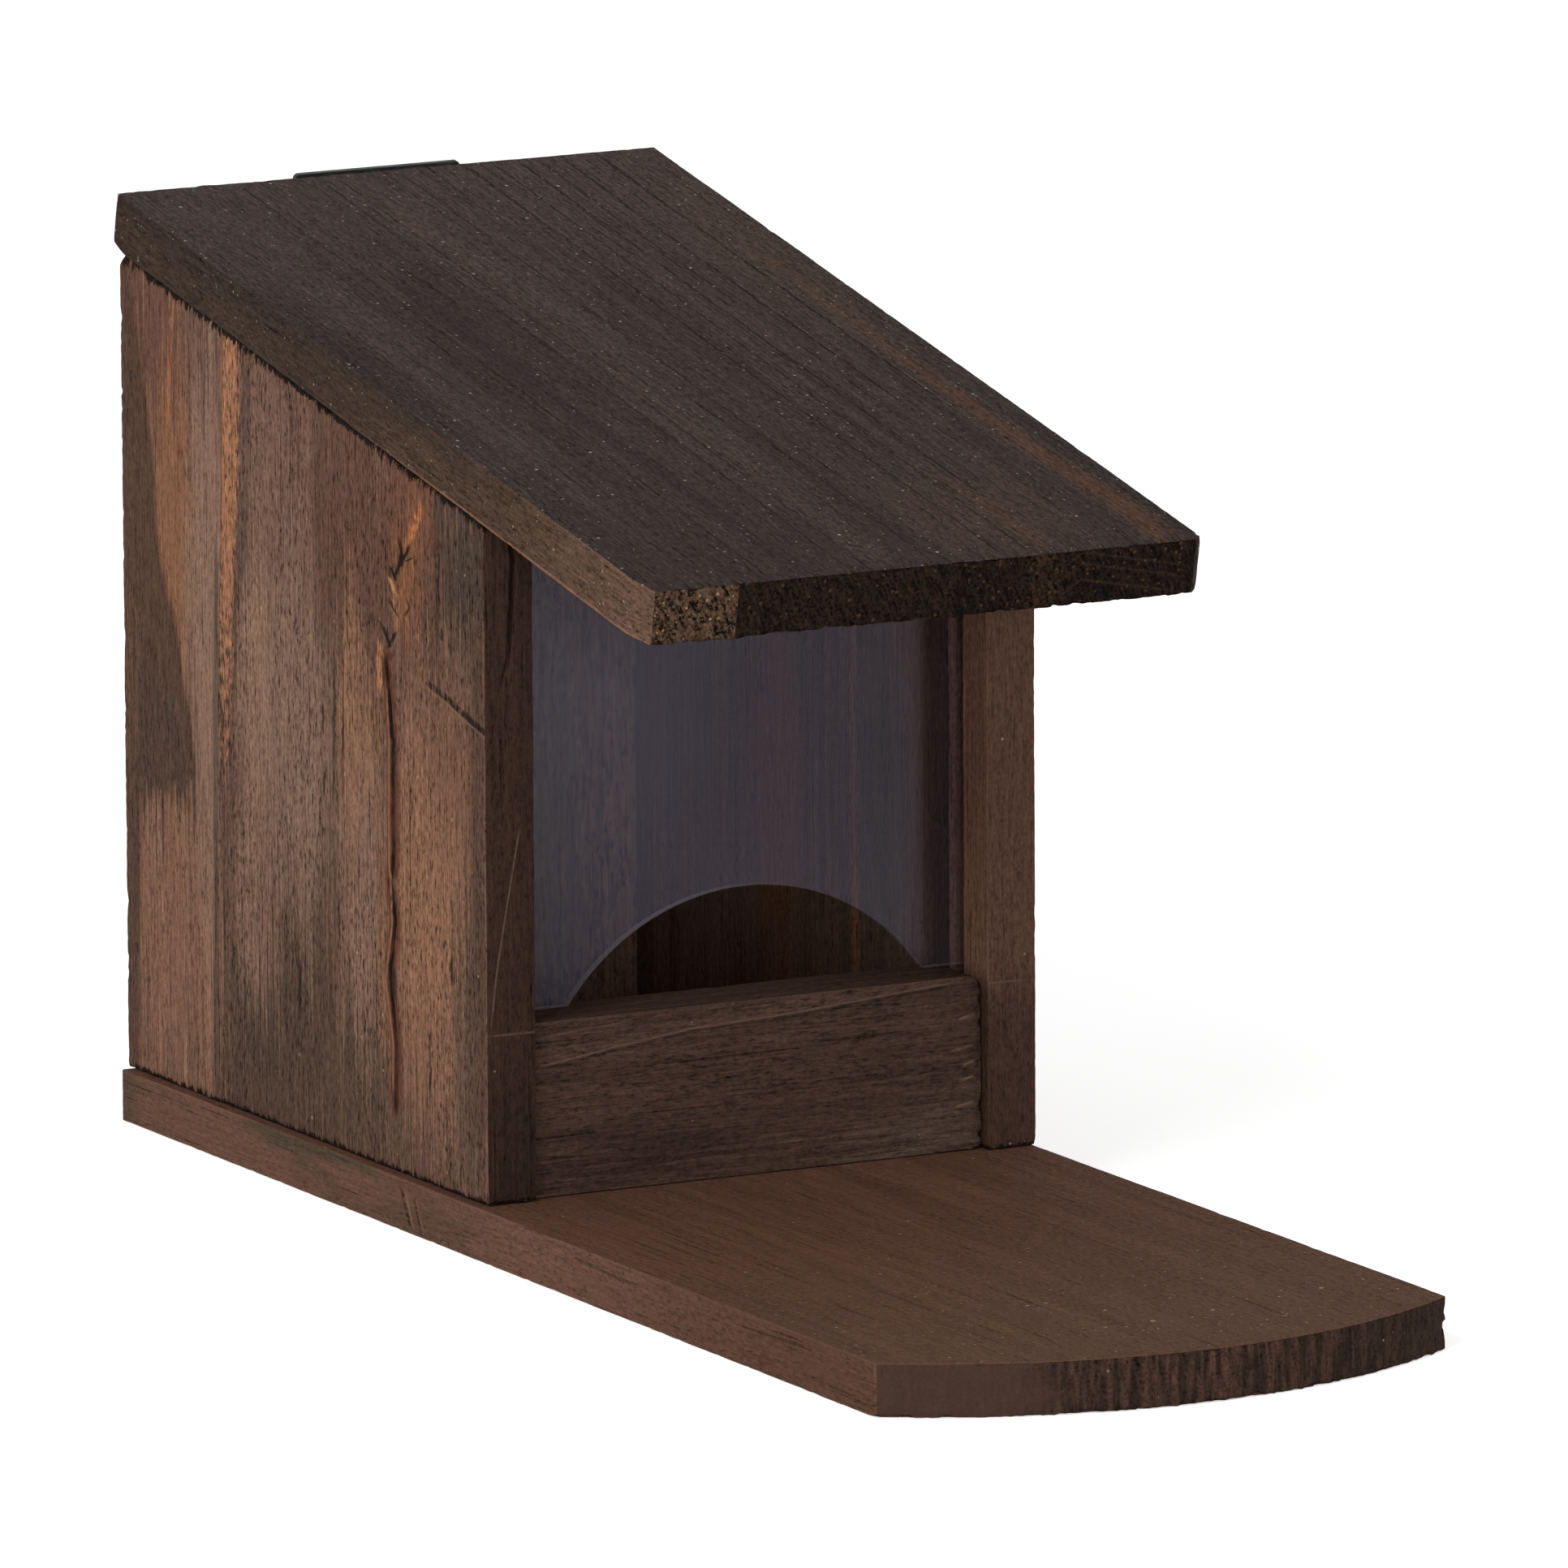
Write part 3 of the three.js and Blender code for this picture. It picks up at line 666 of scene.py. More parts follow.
class BuildBase(PieceOperator, bpy.types.Operator):
    """Builds the base board with its bowed front"""

    bl_idname = "feeder.base"
    bl_label = "Base board"

    def surface(self, context):
        """The board, with a counterbored hole under each screw."""
        low, high = node_box("base_board")
        half = high[X]
        bow = 19.0
        radius = (bow ** 2 + half ** 2) / (2 * bow)
        seats = [node_middle(node) for node in frame["nodes"] if "_screw_" in node
                 and "hinge" not in node]
        length, width, thick = high[Y] - low[Y] - bow, high[X] - low[X], high[Z]

        def place(share):
            """Straight sides. The front is an arc over the width: the circle's middle minus
            the square root of its radius squared less x squared."""
            x = low[X] + share[:, 0] * width
            front = low[Y] + radius - np.sqrt(radius ** 2 - x ** 2)
            y = front + share[:, 1] * (high[Y] - front)
            return np.stack([x, y, share[:, 2] * thick], axis=1)

        def pits(points, facing):
            rows = [(0, 3.1), (1.6, 3.1), (1.7, 2.3), (3.5, 0.5), (3.55, 0.0)]
            under = step(0.5, 0.9, -facing[:, Z])
            return under * sum(hole(points, seat, (X, Y), rows) for seat in seats)

        def ragged(flat, points):
            """The front's arrises are torn, the lower one most, and smooth at the left."""
            front = step(5, 0, flat[:, 1])
            lower = np.where(flat[:, 2] < thick / 2, 1.6, 0.5)
            return 0.25 + front * lower * (0.35 + 0.65 * step(-45, -20, points[:, X]))

        around, reach = 0.65, 3.6
        columns = sorted({round(seat[X] - low[X], 2) for seat in seats})
        rows = sorted({round(seat[Y] - low[Y] - bow, 2) for seat in seats})
        fine = {0: [(x - reach, x + reach, around) for x in columns],
                1: [(0.6, 4, 0.6), *((y - reach, y + reach, around) for y in rows)]}
        return worn_board("base", (width, length, thick), place, (0.9, 1.7, 0.7), Y, 11,
                          self.shape(context), fine=fine, ragged=ragged, pits=pits)

    def finish(self, tint):
        """Stain in clouds, with a lighter side and rough end grain on the bowed front."""
        wood = Wood("base_stain", (X, Z, Y), 1, tint)
        wood.stain(tint.base, scaled(tint.base, 0.84), scaled(tint.base, 1.16), 0.1)
        side = wood.only(X, -1)
        top = wood.only(Z, 1)
        cloud = wood.noise(wood.stretched(0.05, 0.02, 0.12, shift=20), 3.0, 0.6)
        wood.paint((side + wood.only(X, 1)) * 0.9, seen(111, 80, 65))
        upper = wood.ramp(wood.deep + (cloud - 0.5) * 14, 5.5, 9.0)
        length = wood.ramp(wood.along, 40, 62) * wood.ramp(wood.along, 118, 96)
        wood.paint(side * upper * length * 0.85, seen(78, 66, 53))
        wood.paint(side * wood.ramp(cloud, 0.5, 0.66) * 0.6, seen(86, 66, 54))
        wood.paint(side * wood.ramp(wood.along, 148, 160) * 0.8, seen(88, 70, 57))
        wood.paint(side * wood.ramp(wood.along, -10, -120) * 0.9, seen(92, 64, 51))
        wood.patch((60, 142), (3, 5), seen(140, 112, 84), 0.5, upper * side)
        ahead = wood.ramp(wood.along, -40, -150)
        wood.paint(top * wood.ramp(cloud, 0.48, 0.64) * 0.4, scaled(tint.base, 0.86))
        wood.paint(top * ahead * 0.4, seen(94, 74, 59))
        wood.detail(0.6, 0.4)
        smooth = wood.ramp(wood.across + wood.sway * 20, -22, -38)
        stroke = wood.noise(wood.stretched(0.5, 0.02, 0.05, shift=17), 2.0, 0.6)
        rough = wood.mix(wood.ramp(stroke, 0.4, 0.62), seen(44, 32, 26), seen(70, 50, 41))
        far = wood.ramp(wood.across, 5, 55)
        rough = wood.mix(far * 0.5, rough, seen(44, 33, 27))
        wood.end_grain(wood.mix(smooth, rough, seen(68, 50, 42)), 0.85 - smooth * 0.65,
                       math.radians(4))
        for path, width, tone in (
            ([(9.6, 41.6), (0.4, 37.0)], 1.1, seen(38, 24, 18)),
            ([(9.0, 39.9), (0.4, 35.7)], 0.7, seen(138, 104, 82)),
            ([(8.0, 36.0), (0.4, 32.6)], 0.8, seen(52, 35, 27)),
            ([(7.6, 35.0), (0.4, 31.6)], 0.5, seen(128, 94, 74)),
        ):
            wood.scratch(path, width, tone, 0.8, wood.deep, wood.along, side)
        wood.specks(1.5, 0.22, 0.3, 0.8, top * ahead, 1)
        wood.specks(3.4, 0.36, 0.3, 0.9, top * ahead, 2)
        wood.specks(3.2, 0.2, 0.3, 0.7, 1.0, 3)
        wood.specks(2.2, 0.3, 0.3, 0.8, wood.ramp(wood.deep, 7.5, 9.8) * side, 4,
                    seen(150, 116, 84))
        return wood.finish(0.82)

    def execute(self, context):
        build(*self.surface(context), "house", "base_wood", ["base_board"],
              self.finish(self.tint(context)))
        return {"FINISHED"}


def wall_shape(left, right, start, stop, grooved):
    """A wall board in shares of its box: x runs through it, y from start to stop, which may
    slant with height, and z from the base to the sloping top, which is eased at the rear. The
    groove for the pane is sunk in the side that grooved names, LOW or HIGH, or in neither."""
    pane = node_box("front_pane")
    lip, back = pane[HIGH][Y] - 5.4, pane[HIGH][Y] + 0.2
    depth, slant = 4.5, 0.06

    def place(share):
        foot, head = start(share[:, 2]), stop(share[:, 2])
        y = foot + share[:, 1] * (head - foot)
        if grooved is not None:
            upright = foot + share[:, 1] * (stop(np.full(1, 0.5)) - foot)
            y = y + (upright - y) * step(0.9, 0.5, share[:, 1])
        top = wall_top(np.minimum(y, HOUSE_REAR - EASE_DEPTH))
        top = top - EASE_HEIGHT * step_line(HOUSE_REAR - EASE_DEPTH, HOUSE_REAR, y)
        z = BASE_TOP + share[:, 2] * (top - BASE_TOP)
        sunk = depth * step_line(lip - slant, lip + slant, y)
        sunk = sunk * step_line(back + slant, back - slant, y)
        near = left + sunk * (grooved == LOW)
        far = right - sunk * (grooved == HIGH)
        return np.stack([near + share[:, 0] * (far - near), y, z], axis=1)

    return place


def upright(y):
    """An end of a wall board that stands upright at one depth."""
    return lambda share: np.full(len(share), y)


def glue_joint(gap):
    """The slanting joint of the left wall's staves, moved by a gap: foot plus share times head
    less foot."""
    return lambda share: JOINT_FOOT + share * (JOINT_HEAD - JOINT_FOOT) + gap


# Finer grid lines over the two sides of the pane's groove: (start, end, step) from the front
GROOVE_LINES = [(9.5, 9.9, 0.1), (15.1, 15.5, 0.1)]


def brad_pits(side, outward):
    """The holes of a wall's three brads, sunk in its outer side, and fine lines round them."""
    middles = [node_middle(f"brad_{side}_{level}") for level in ("bottom", "middle", "top")]
    rows = [(0, 0.75), (0.95, 0.75), (1.15, 0.0)]

    def pits(points, facing):
        outer = step(0.5, 0.9, facing[:, X] * outward)
        return outer * sum(hole(points, middle, (Y, Z), rows) for middle in middles)

    return pits, [(m[Z] - BASE_TOP - 2, m[Z] - BASE_TOP + 2, 0.3) for m in middles]


def torn_top(flat, points):
    """Chips all along a wall's top arris and its foot, some at its rear, and fewer elsewhere."""
    top = step(2.0, 0.5, wall_top(points[:, Y]) - points[:, Z])
    foot = step(1.6, 0.4, points[:, Z] - BASE_TOP)
    rear = step(1.5, 0.5, HOUSE_REAR - points[:, Y])
    return 0.3 + top * 1.7 + foot * 0.9 + rear * 0.5


class BuildWalls(PieceOperator, bpy.types.Operator):
    """Builds the side walls: the left one of two staves, the right one of one board"""

    bl_idname = "feeder.walls"
    bl_label = "Side walls"

    main_crack = [(112, 48.5), (109, 49.5), (100, 48), (93, 47), (70, 47), (66.5, 48.5),
                  (59, 46.5), (47.5, 49), (43, 48), (35, 46.5), (20, 47)]
    wedge = [(138, -52), (134, -51.5), (123, -52), (115, -52.5), (109.5, -54.5)]

    def front_stave(self, context):
        """The stave before the joint, with a long crack in its outer side and a wedge in its
        front edge: V-shaped grooves whose depth falls straight from the line to the rim."""
        low, high = node_box("left_wall_front_stave")
        fall = 25
        size = (high[X] - low[X], JOINT_FOOT - HOUSE_FRONT, WALL_HEIGHT - fall)
        place = wall_shape(low[X], high[X], upright(HOUSE_FRONT), glue_joint(-HALF_GLUE), HIGH)
        depth = self.shape(context).crack / MM
        crack = np.array(sorted(self.main_crack))
        wedge = np.array(sorted(self.wedge))

        def pits(points, facing):
            outer = step(0.5, 0.9, -facing[:, X])
            front = step(0.5, 0.9, -facing[:, Y])
            line = np.interp(points[:, Z], crack[:, 0], crack[:, 1])
            within = step(16, 44, points[:, Z]) * step(113, 107, points[:, Z])
            opening = 0.5 + 0.5 * ripple(points * [0, 0, 1], 5, 31)
            loss = outer * within * opening * groove(points[:, Y] - line, 1.3, depth)
            line = np.interp(points[:, Z], wedge[:, 0], wedge[:, 1])
            gape = step_line(108, 122, points[:, Z])
            return loss + front * groove(points[:, X] - line, 1.5, 3.0) * gape

        def sharp(flat):
            """The arris at the glue joint stays nearly sharp."""
            return 1 - 0.9 * step(size[1] - 3, size[1] - 1, flat[:, 1])

        fine = {0: [(2.0, 7.5, 0.3)], 1: [*GROOVE_LINES, (36, 43, 0.25)], 2: [(130, 136, 0.5)]}
        return worn_board("left_wall_front", size, place, (0.6, 0.72, 1.0), Z, 21,
                          self.shape(context), fine=fine, ragged=torn_top, pits=pits,
                          sharp=sharp)

    def rear_stave(self, context):
        """The stave behind the joint, with the brads' holes in its outer side."""
        low, high = node_box("left_wall_rear_stave")
        size = (high[X] - low[X], HOUSE_REAR - JOINT_HEAD, WALL_HEIGHT)
        place = wall_shape(low[X], high[X], glue_joint(HALF_GLUE), upright(HOUSE_REAR), None)
        pits, levels = brad_pits("left", -1)

        def sharp(flat):
            """The arris at the glue joint stays nearly sharp."""
            return 0.1 + 0.9 * step(1, 3, flat[:, 1])

        return worn_board("left_wall_rear", size, place, (0.7, 0.65, 0.9), Z, 22,
                          self.shape(context), fine={1: [(33.5, 41.5, 0.3)], 2: levels},
                          ragged=torn_top, pits=pits, sharp=sharp)

    def right_board(self, context):
        """The right wall's one board, with the brads' holes in its outer side."""
        low, high = node_box("right_wall")
        size = (high[X] - low[X], HOUSE_REAR - HOUSE_FRONT, WALL_HEIGHT)
        place = wall_shape(low[X], high[X], upright(HOUSE_FRONT), upright(HOUSE_REAR), LOW)
        pits, levels = brad_pits("right", 1)
        fine = {1: [*GROOVE_LINES, (145, 152, 0.3)], 2: levels}
        return worn_board("right_wall_board", size, place, (0.7, 1.0, 0.95), Z, 23,
                          self.shape(context), fine=fine, ragged=torn_top, pits=pits)

    def front_edge(self, wood, tone, foot):
        """The front edge of a wall is darker, by its stain and by painted shade, and darkest at the
        foot.
        """
        front = wood.only(Y, -1)
        # Painted shade: the front edge is darkened partly for the lesser light on it, over its stain
        wood.paint(front * 0.95, tone)
        wood.paint(front * wood.ramp(wood.along, 50, 20) * foot, scaled(tone, 0.6))
        return front

    def torn_and_shaded_edges(self, wood):
        """Torn black fibres with painted shade along the sloping top and at the foot, and the rough
        end grain.
        """
        slope = math.tan(LID_PITCH)
        rise = BASE_TOP + WALL_HEIGHT - HOUSE_REAR * slope
        # Painted shade of the gaps under the lid and over the base, with torn fibres in them
        wood.torn_fringe_and_shade(wood.across * slope + rise - wood.along, 1.35, 0.97, wood.face)
        wood.torn_fringe_and_shade(wood.along - BASE_TOP, 0.8, 0.95, wood.face)
        crumbs = wood.ramp(wood.along, BASE_TOP + 2.2, BASE_TOP + 0.8) * wood.face
        wood.specks(1.5, 0.4, 0.35, 0.85, crumbs, 7, seen(156, 122, 94))
        wood.end_grain(seen(50, 38, 31), 0.8)

    def scribed_line(self, wood, front):
        """A light line scribed across the front edge at the height of the rail."""
        wood.scratch([(-60, 43.1), (60, 42.9)], 0.35, seen(104, 82, 68), 0.5, wood.deep,
                     wood.along, front)

    def front_stave_finish(self, tint):
        """Patches, streaks, a bare strip, and the cracks of the stave before the joint."""
        wood = Wood("front_stave_stain", (Y, X, Z), 2, tint)
        wood.stain(tint.wall, seen(88, 65, 54), seen(122, 91, 74), 0.16)
        outer = wood.only(X, -1) + wood.only(X, 1)
        wood.patches([
            ((60, 134), (22, 26), (97, 67, 55), 0.85),
            ((96, 130), (15, 34), (122, 92, 77), 0.85),
            ((104, 92), (8, 26), (144, 112, 92), 0.85),
            ((87, 84), (14, 34), (132, 104, 87), 0.85),
            ((106, 47), (8, 17), (130, 99, 83), 0.8),
            ((93, 22), (21, 17), (74, 58, 48), 0.95),
            ((107, 18), (13, 20), (76, 60, 49), 0.9),
            ((60, 20), (12, 14), (76, 61, 49), 0.9),
            ((64, 92), (7, 24), (142, 104, 79), 0.85),
            ((58, 60), (9, 30), (132, 101, 84), 0.85),
            ((33, 62), (16, 38), (141, 101, 78), 0.95),
            ((14, 36), (8, 24), (92, 71, 59), 0.85),
            ((22, 93), (14, 14), (116, 83, 65), 0.85),
            ((37, 136), (13, 18), (112, 74, 56), 0.9),
            ((17, 136), (10, 15), (66, 54, 45), 0.95),
            ((80, 14), (60, 9), (87, 66, 54), 0.8),
        ], outer)
        wood.streaks(
            ([(20, 11.5), (70, 11.5), (128, 11.5)], 4.5, (84, 62, 50), 0.85, 1.2),
            ([(112, 110.5), (130, 109), (158, 107.5)], 4.0, (84, 67, 63), 0.45, 1.0))
        wood.streak([(68, 121), (81, 119), (89, 118), (104, 117.6), (122, 116.6), (135, 115.2),
                     (158, 114.2), (168, 114.5)],
                    [(68, 0.5), (81, 4.5), (104, 5), (118, 5.5), (132, 6.6), (168, 6.8)],
                    tint.ochre, self.ochre_level(wood), 1.1, 35)
        wood.streaks(
            ([(96, 120.2), (122, 118.8), (140, 117.4), (168, 116.4)], 1.8, (166, 112, 80), 0.5, 0.8),
            (self.main_crack, 5.0, (112, 70, 50), 0.8, 0.8, 8),
            ([(30, 52), (80, 53), (104, 53)], 3, (124, 88, 66), 0.6, 0.8))
        wood.patches([
            ((40.5, 128), (6, 9), (140, 90, 60), 0.85),
            ((33, 120), (6, 6), (84, 62, 50), 0.7),
        ], outer)
        wood.streaks(
            ([(131, 42), (134, 39), (137.5, 36.2), (143, 34)], 2.6, (172, 108, 68), 0.85, 0.7, 6),
            ([(101, 51.6), (106, 52.4), (113, 51.8)], 2.4, (178, 122, 84), 0.85, 0.5, 4),
            ([(122, 45.4), (125.4, 47.9)], 1.4, (196, 144, 96), 0.9, 0.3, 0),
            ([(112, 44.6), (120, 46), (126, 45)], 2.0, (150, 106, 74), 0.6, 0.5, 4))
        front = self.front_edge(wood, tint.wall_edge_stain_and_shade, 0.5)
        inner = wood.ramp(wood.deep, -52.4, -50.5)
        wood.paint(front * inner * 0.5, seen(46, 32, 25))
        wood.detail(1.0, 1 - front * 0.75)
        wood.crack(self.main_crack, 1.3, 0.97, 0.45, outer, seen(84, 47, 33))
        for wide in ([(66.5, 48.6), (59, 46.2)], [(51, 48.0), (42.5, 47.7)]):
            wood.crack(wide, 2.0, 0.8, 0.2, outer)
        # Painted highlight: the light line beside the main crack stands for the lit bevel of its
        # edge
        wood.scratch([(105, 49.7), (93, 48.5), (80, 48.8), (70, 48.8), (58, 47.8), (47, 50.8),
                      (35, 47.8), (24, 48.2)], 0.6, seen(160, 116, 88), 0.7, side=outer)
        wood.cracks(
            outer,
            ([(134.6, 43.6), (131.8, 43.1), (129.8, 42.4), (128.1, 43.4), (126.1, 44.9),
              (123.6, 45.5)], 1.2, 0.97),
            ([(130.6, 42.2), (127.6, 43.2)], 1.9, 0.97),
            ([(132.8, 39.2), (130.9, 40.5), (129.0, 42.2)], 1.0, 0.95),
            ([(130.4, 37.6), (129.0, 41.4)], 0.6, 0.8),
            ([(127.6, 47.4), (125.9, 46.0), (124.6, 45.0)], 1.1, 0.97),
            ([(121.0, 46.9), (119.4, 46.4), (117.6, 43.6)], 0.7, 0.85),
            ([(122.0, 40.4), (120.4, 39.3), (118.3, 41.8)], 0.6, 0.75),
            ([(129.4, 27.0), (126.0, 27.6), (122, 26.6)], 0.6, 0.7),
            ([(118.8, 26.2), (115.8, 26.0)], 0.7, 0.85),
            ([(116.0, 51.6), (114.2, 49.9), (112.0, 47.9), (110.6, 49.4)], 1.3, 0.97),
            ([(115.2, 45.2), (113.7, 46.2), (112.0, 48.2)], 1.2, 0.9),
            ([(110.0, 71.4), (76.0, 72.1)], 0.5, 0.65),
            ([(110.2, 67.6), (76.6, 68.0)], 0.42, 0.5),
            ([(96.2, 67.9), (81.0, 68.8)], 0.6, 0.7),
            ([(83.8, 75.8), (77.7, 76.3)], 0.7, 0.8),
            ([(42.1, 32.1), (25.0, 32.6)], 0.75, 0.95),
            ([(57.1, 23.0), (50.1, 23.1)], 0.75, 0.85),
            ([(45.7, 86.9), (32.4, 87.6)], 0.75, 0.9),
            ([(97, 76.4), (90, 76.6)], 0.6, 0.8),
            ([(60, 70.2), (50, 70.4)], 0.6, 0.75),
            ([(101, 82), (84, 82.4)], 0.5, 0.6),
        )
        slant = [(35.0, 108.2), (31.0, 106.8), (24.4, 105.5), (18.0, 103.6), (6.0, 100.6)]
        for shift, width, tone, amount in ((0.0, 1.3, seen(30, 20, 15), 0.95),
                                           (-0.9, 0.5, seen(150, 114, 88), 0.4)):
            wood.scratch([(across, along + shift) for across, along in slant], width, tone,
                         amount, wood.across, wood.along, outer)
        wood.scratch([(84.0, -49.9), (82.7, -50.7), (64.6, -54.1), (54.4, -55.9), (42.6, -57.3)],
                     0.28, seen(112, 92, 78), 0.6, wood.along, wood.deep, front)
        self.scribed_line(wood, front)
        wood.specks(4.5, 0.24, 0.3, 0.7, front, 1)
        wood.specks(5.0, 0.26, 0.3, 0.75, outer, 2)
        self.torn_and_shaded_edges(wood)
        return wood.finish()

    def ochre_level(self, wood):
        """The bare strip is whole above, and breaks up into dashes lower down."""
        level = wood.table(wood.along, [(68, 0.0), (80, 0.45), (96, 0.7), (118, 0.92)])
        return level - wood.ramp(wood.dash, 0.42, 0.6) * wood.ramp(wood.along, 125, 95, 0.12, 0.6)

    def rear_stave_finish(self, tint):
        """Lighter stain, and a dark patch that runs down the rear edge."""
        wood = Wood("rear_stave_stain", (Y, X, Z), 3, tint)
        wood.stain(seen(134, 98, 77), seen(122, 87, 69), seen(146, 109, 86), 0.2)
        outer = wood.only(X, -1) + wood.only(X, 1)
        wood.patches([
            ((124, 150), (9, 30), (122, 94, 80), 0.9),
            ((124, 92), (9, 52), (140, 109, 91), 0.95),
            ((141, 126), (9, 32), (134, 92, 68), 0.85),
            ((149, 162), (14, 16), (102, 70, 58), 0.95),
            ((128, 160), (8, 12), (104, 76, 64), 0.8),
            ((146, 34), (9, 20), (130, 94, 76), 0.8),
            ((140, 14), (26, 6), (98, 76, 63), 0.7),
        ], outer)
        wood.beyond([(10, 157.5), (41, 156.5), (60, 156), (65.5, 153), (67.5, 134), (73, 131),
                     (81, 132.3), (90, 136), (100, 138.6), (105, 142.4), (117, 147.2),
                     (124, 148.1), (134, 148.6), (144, 152.2), (154, 154.4), (168, 159)],
                    seen(82, 60, 48), 0.94, 1.2, 26)
        wood.patches([
            ((160, 90), (7, 12), (98, 70, 57), 0.9),
            ((145, 75), (16, 8), (76, 60, 52), 0.9),
            ((160, 32), (5, 10), (94, 66, 55), 0.7),
        ], outer)
        wood.streaks(
            ([(136, 142.8), (150.8, 141.3), (168, 138.8)], 1.2, (158, 102, 70), 0.8, 0.5),
            ([(100, 135), (132, 134)], 1.0, (146, 104, 78), 0.7, 0.5),
            ([(132, 126), (148, 123.9), (166, 123.2)], 1.0, (140, 112, 92), 0.7, 0.4),
            ([(12, 124.6), (90, 122.6), (120, 121)], 1.6, (82, 72, 60), 0.8, 0.6))
        wood.detail(0.85, 0.6)
        wood.specks(5.5, 0.25, 0.3, 0.6, outer, 2)
        self.torn_and_shaded_edges(wood)
        return wood.finish()

    def right_board_finish(self, tint):
        """Patches and streaks, and painted shade in the corner behind the pane."""
        wood = Wood("right_wall_stain", (Y, X, Z), 4, tint)
        wood.stain(tint.wall, scaled(tint.wall, 0.72), scaled(tint.wall, 1.25), 0.15)
        outer = wood.only(X, 1) + wood.only(X, -1)
        wood.patches([
            ((96, 90), (10, 70), (122, 84, 62), 0.8),
            ((52, 60), (14, 40), (78, 70, 57), 0.8),
            ((30, 110), (12, 40), (126, 90, 68), 0.8),
            ((120, 40), (16, 24), (112, 90, 78), 0.8),
            ((74, 130), (14, 30), (98, 70, 58), 0.8),
        ], outer)
        wood.beyond([(10, 146), (80, 150), (165, 142)], seen(80, 62, 50), 0.85, 3)
        wood.streak([(20, 62), (90, 63), (150, 61)], 2, seen(150, 102, 72), 0.6, 1.2)
        front = self.front_edge(wood, seen(62, 44, 36), 0.1)
        middle = wood.ramp(wood.along, 34, 50) * wood.ramp(wood.along, 128, 112)
        wood.paint(front * middle * 0.9, seen(86, 63, 52))
        strip = wood.only(X, -1) * wood.ramp(wood.across, 20, 16)
        wood.paint(strip * 0.9, seen(124, 91, 73))
        wood.paint(strip * wood.ramp(wood.along, 47, 40) * 0.9, seen(52, 37, 31))
        # Painted shade on the inner side just behind the pane, where little light reaches
        corner = wood.ramp(wood.across, 20, 22) * wood.ramp(wood.across, 46, 28)
        wood.paint(wood.only(X, -1) * corner * 0.8, seen(32, 23, 18))
        wood.detail(0.9, 0.55 - front * 0.35)
        wood.cracks(outer, ([(150, 84), (122, 84.8), (96, 83.6)], 0.5, 0.8),
                    ([(60, 118), (30, 117.6)], 0.45, 0.8))
        self.scribed_line(wood, front)
        wood.specks(4.5, 0.24, 0.3, 0.7, front, 1)
        self.torn_and_shaded_edges(wood)
        return wood.finish()

    def execute(self, context):
        tint = self.tint(context)
        for surface, node, finish in (
            (self.front_stave(context), "left_wall_front_stave", self.front_stave_finish(tint)),
            (self.rear_stave(context), "left_wall_rear_stave", self.rear_stave_finish(tint)),
            (self.right_board(context), "right_wall", self.right_board_finish(tint)),
        ):
            build(*surface, "house", "wall_wood", [node], finish)
        return {"FINISHED"}


class BuildBack(PieceOperator, bpy.types.Operator):
    """Builds the back panel between the walls"""

    bl_idname = "feeder.back"
    bl_label = "Back panel"

    def execute(self, context):
        low, high = node_box("back_panel")
        size = high - low

        def place(share):
            """A flat board whose top follows the slope of the walls."""
            y = low[Y] + share[:, 1] * size[1]
            z = low[Z] + share[:, 2] * (wall_top(y) - low[Z])
            return np.stack([low[X] + share[:, 0] * size[0], y, z], axis=1)

        surface = worn_board("back", size, place, (1.0, 0.8, 1.2), Z, 24, self.shape(context))
        tint = self.tint(context)
        wood = Wood("back_stain", (X, Y, Z), 5, tint)
        wood.stain(tint.back, scaled(tint.back, 0.72), scaled(tint.back, 1.35), 0.14)
        wood.patches([
            ((-20, 110), (16, 44), (122, 86, 64), 0.8),
            ((26, 50), (16, 40), (78, 70, 57), 0.8),
            ((-34, 36), (12, 30), (118, 92, 76), 0.7),
        ])
        wood.streak([(10, 8), (80, 6), (165, 9)], 3, seen(128, 92, 70), 0.5, 1.5)
        wood.detail(1.0, 0.9)
        wood.cracks(1.0, ([(14, -31), (40, -30), (66, -32)], 0.5, 0.85),
                    ([(150, 24), (118, 25)], 0.45, 0.8))
        wood.end_grain(seen(60, 46, 38), 0.8)
        build(*surface, "house", "wall_wood", ["back_panel"], wood.finish())
        return {"FINISHED"}


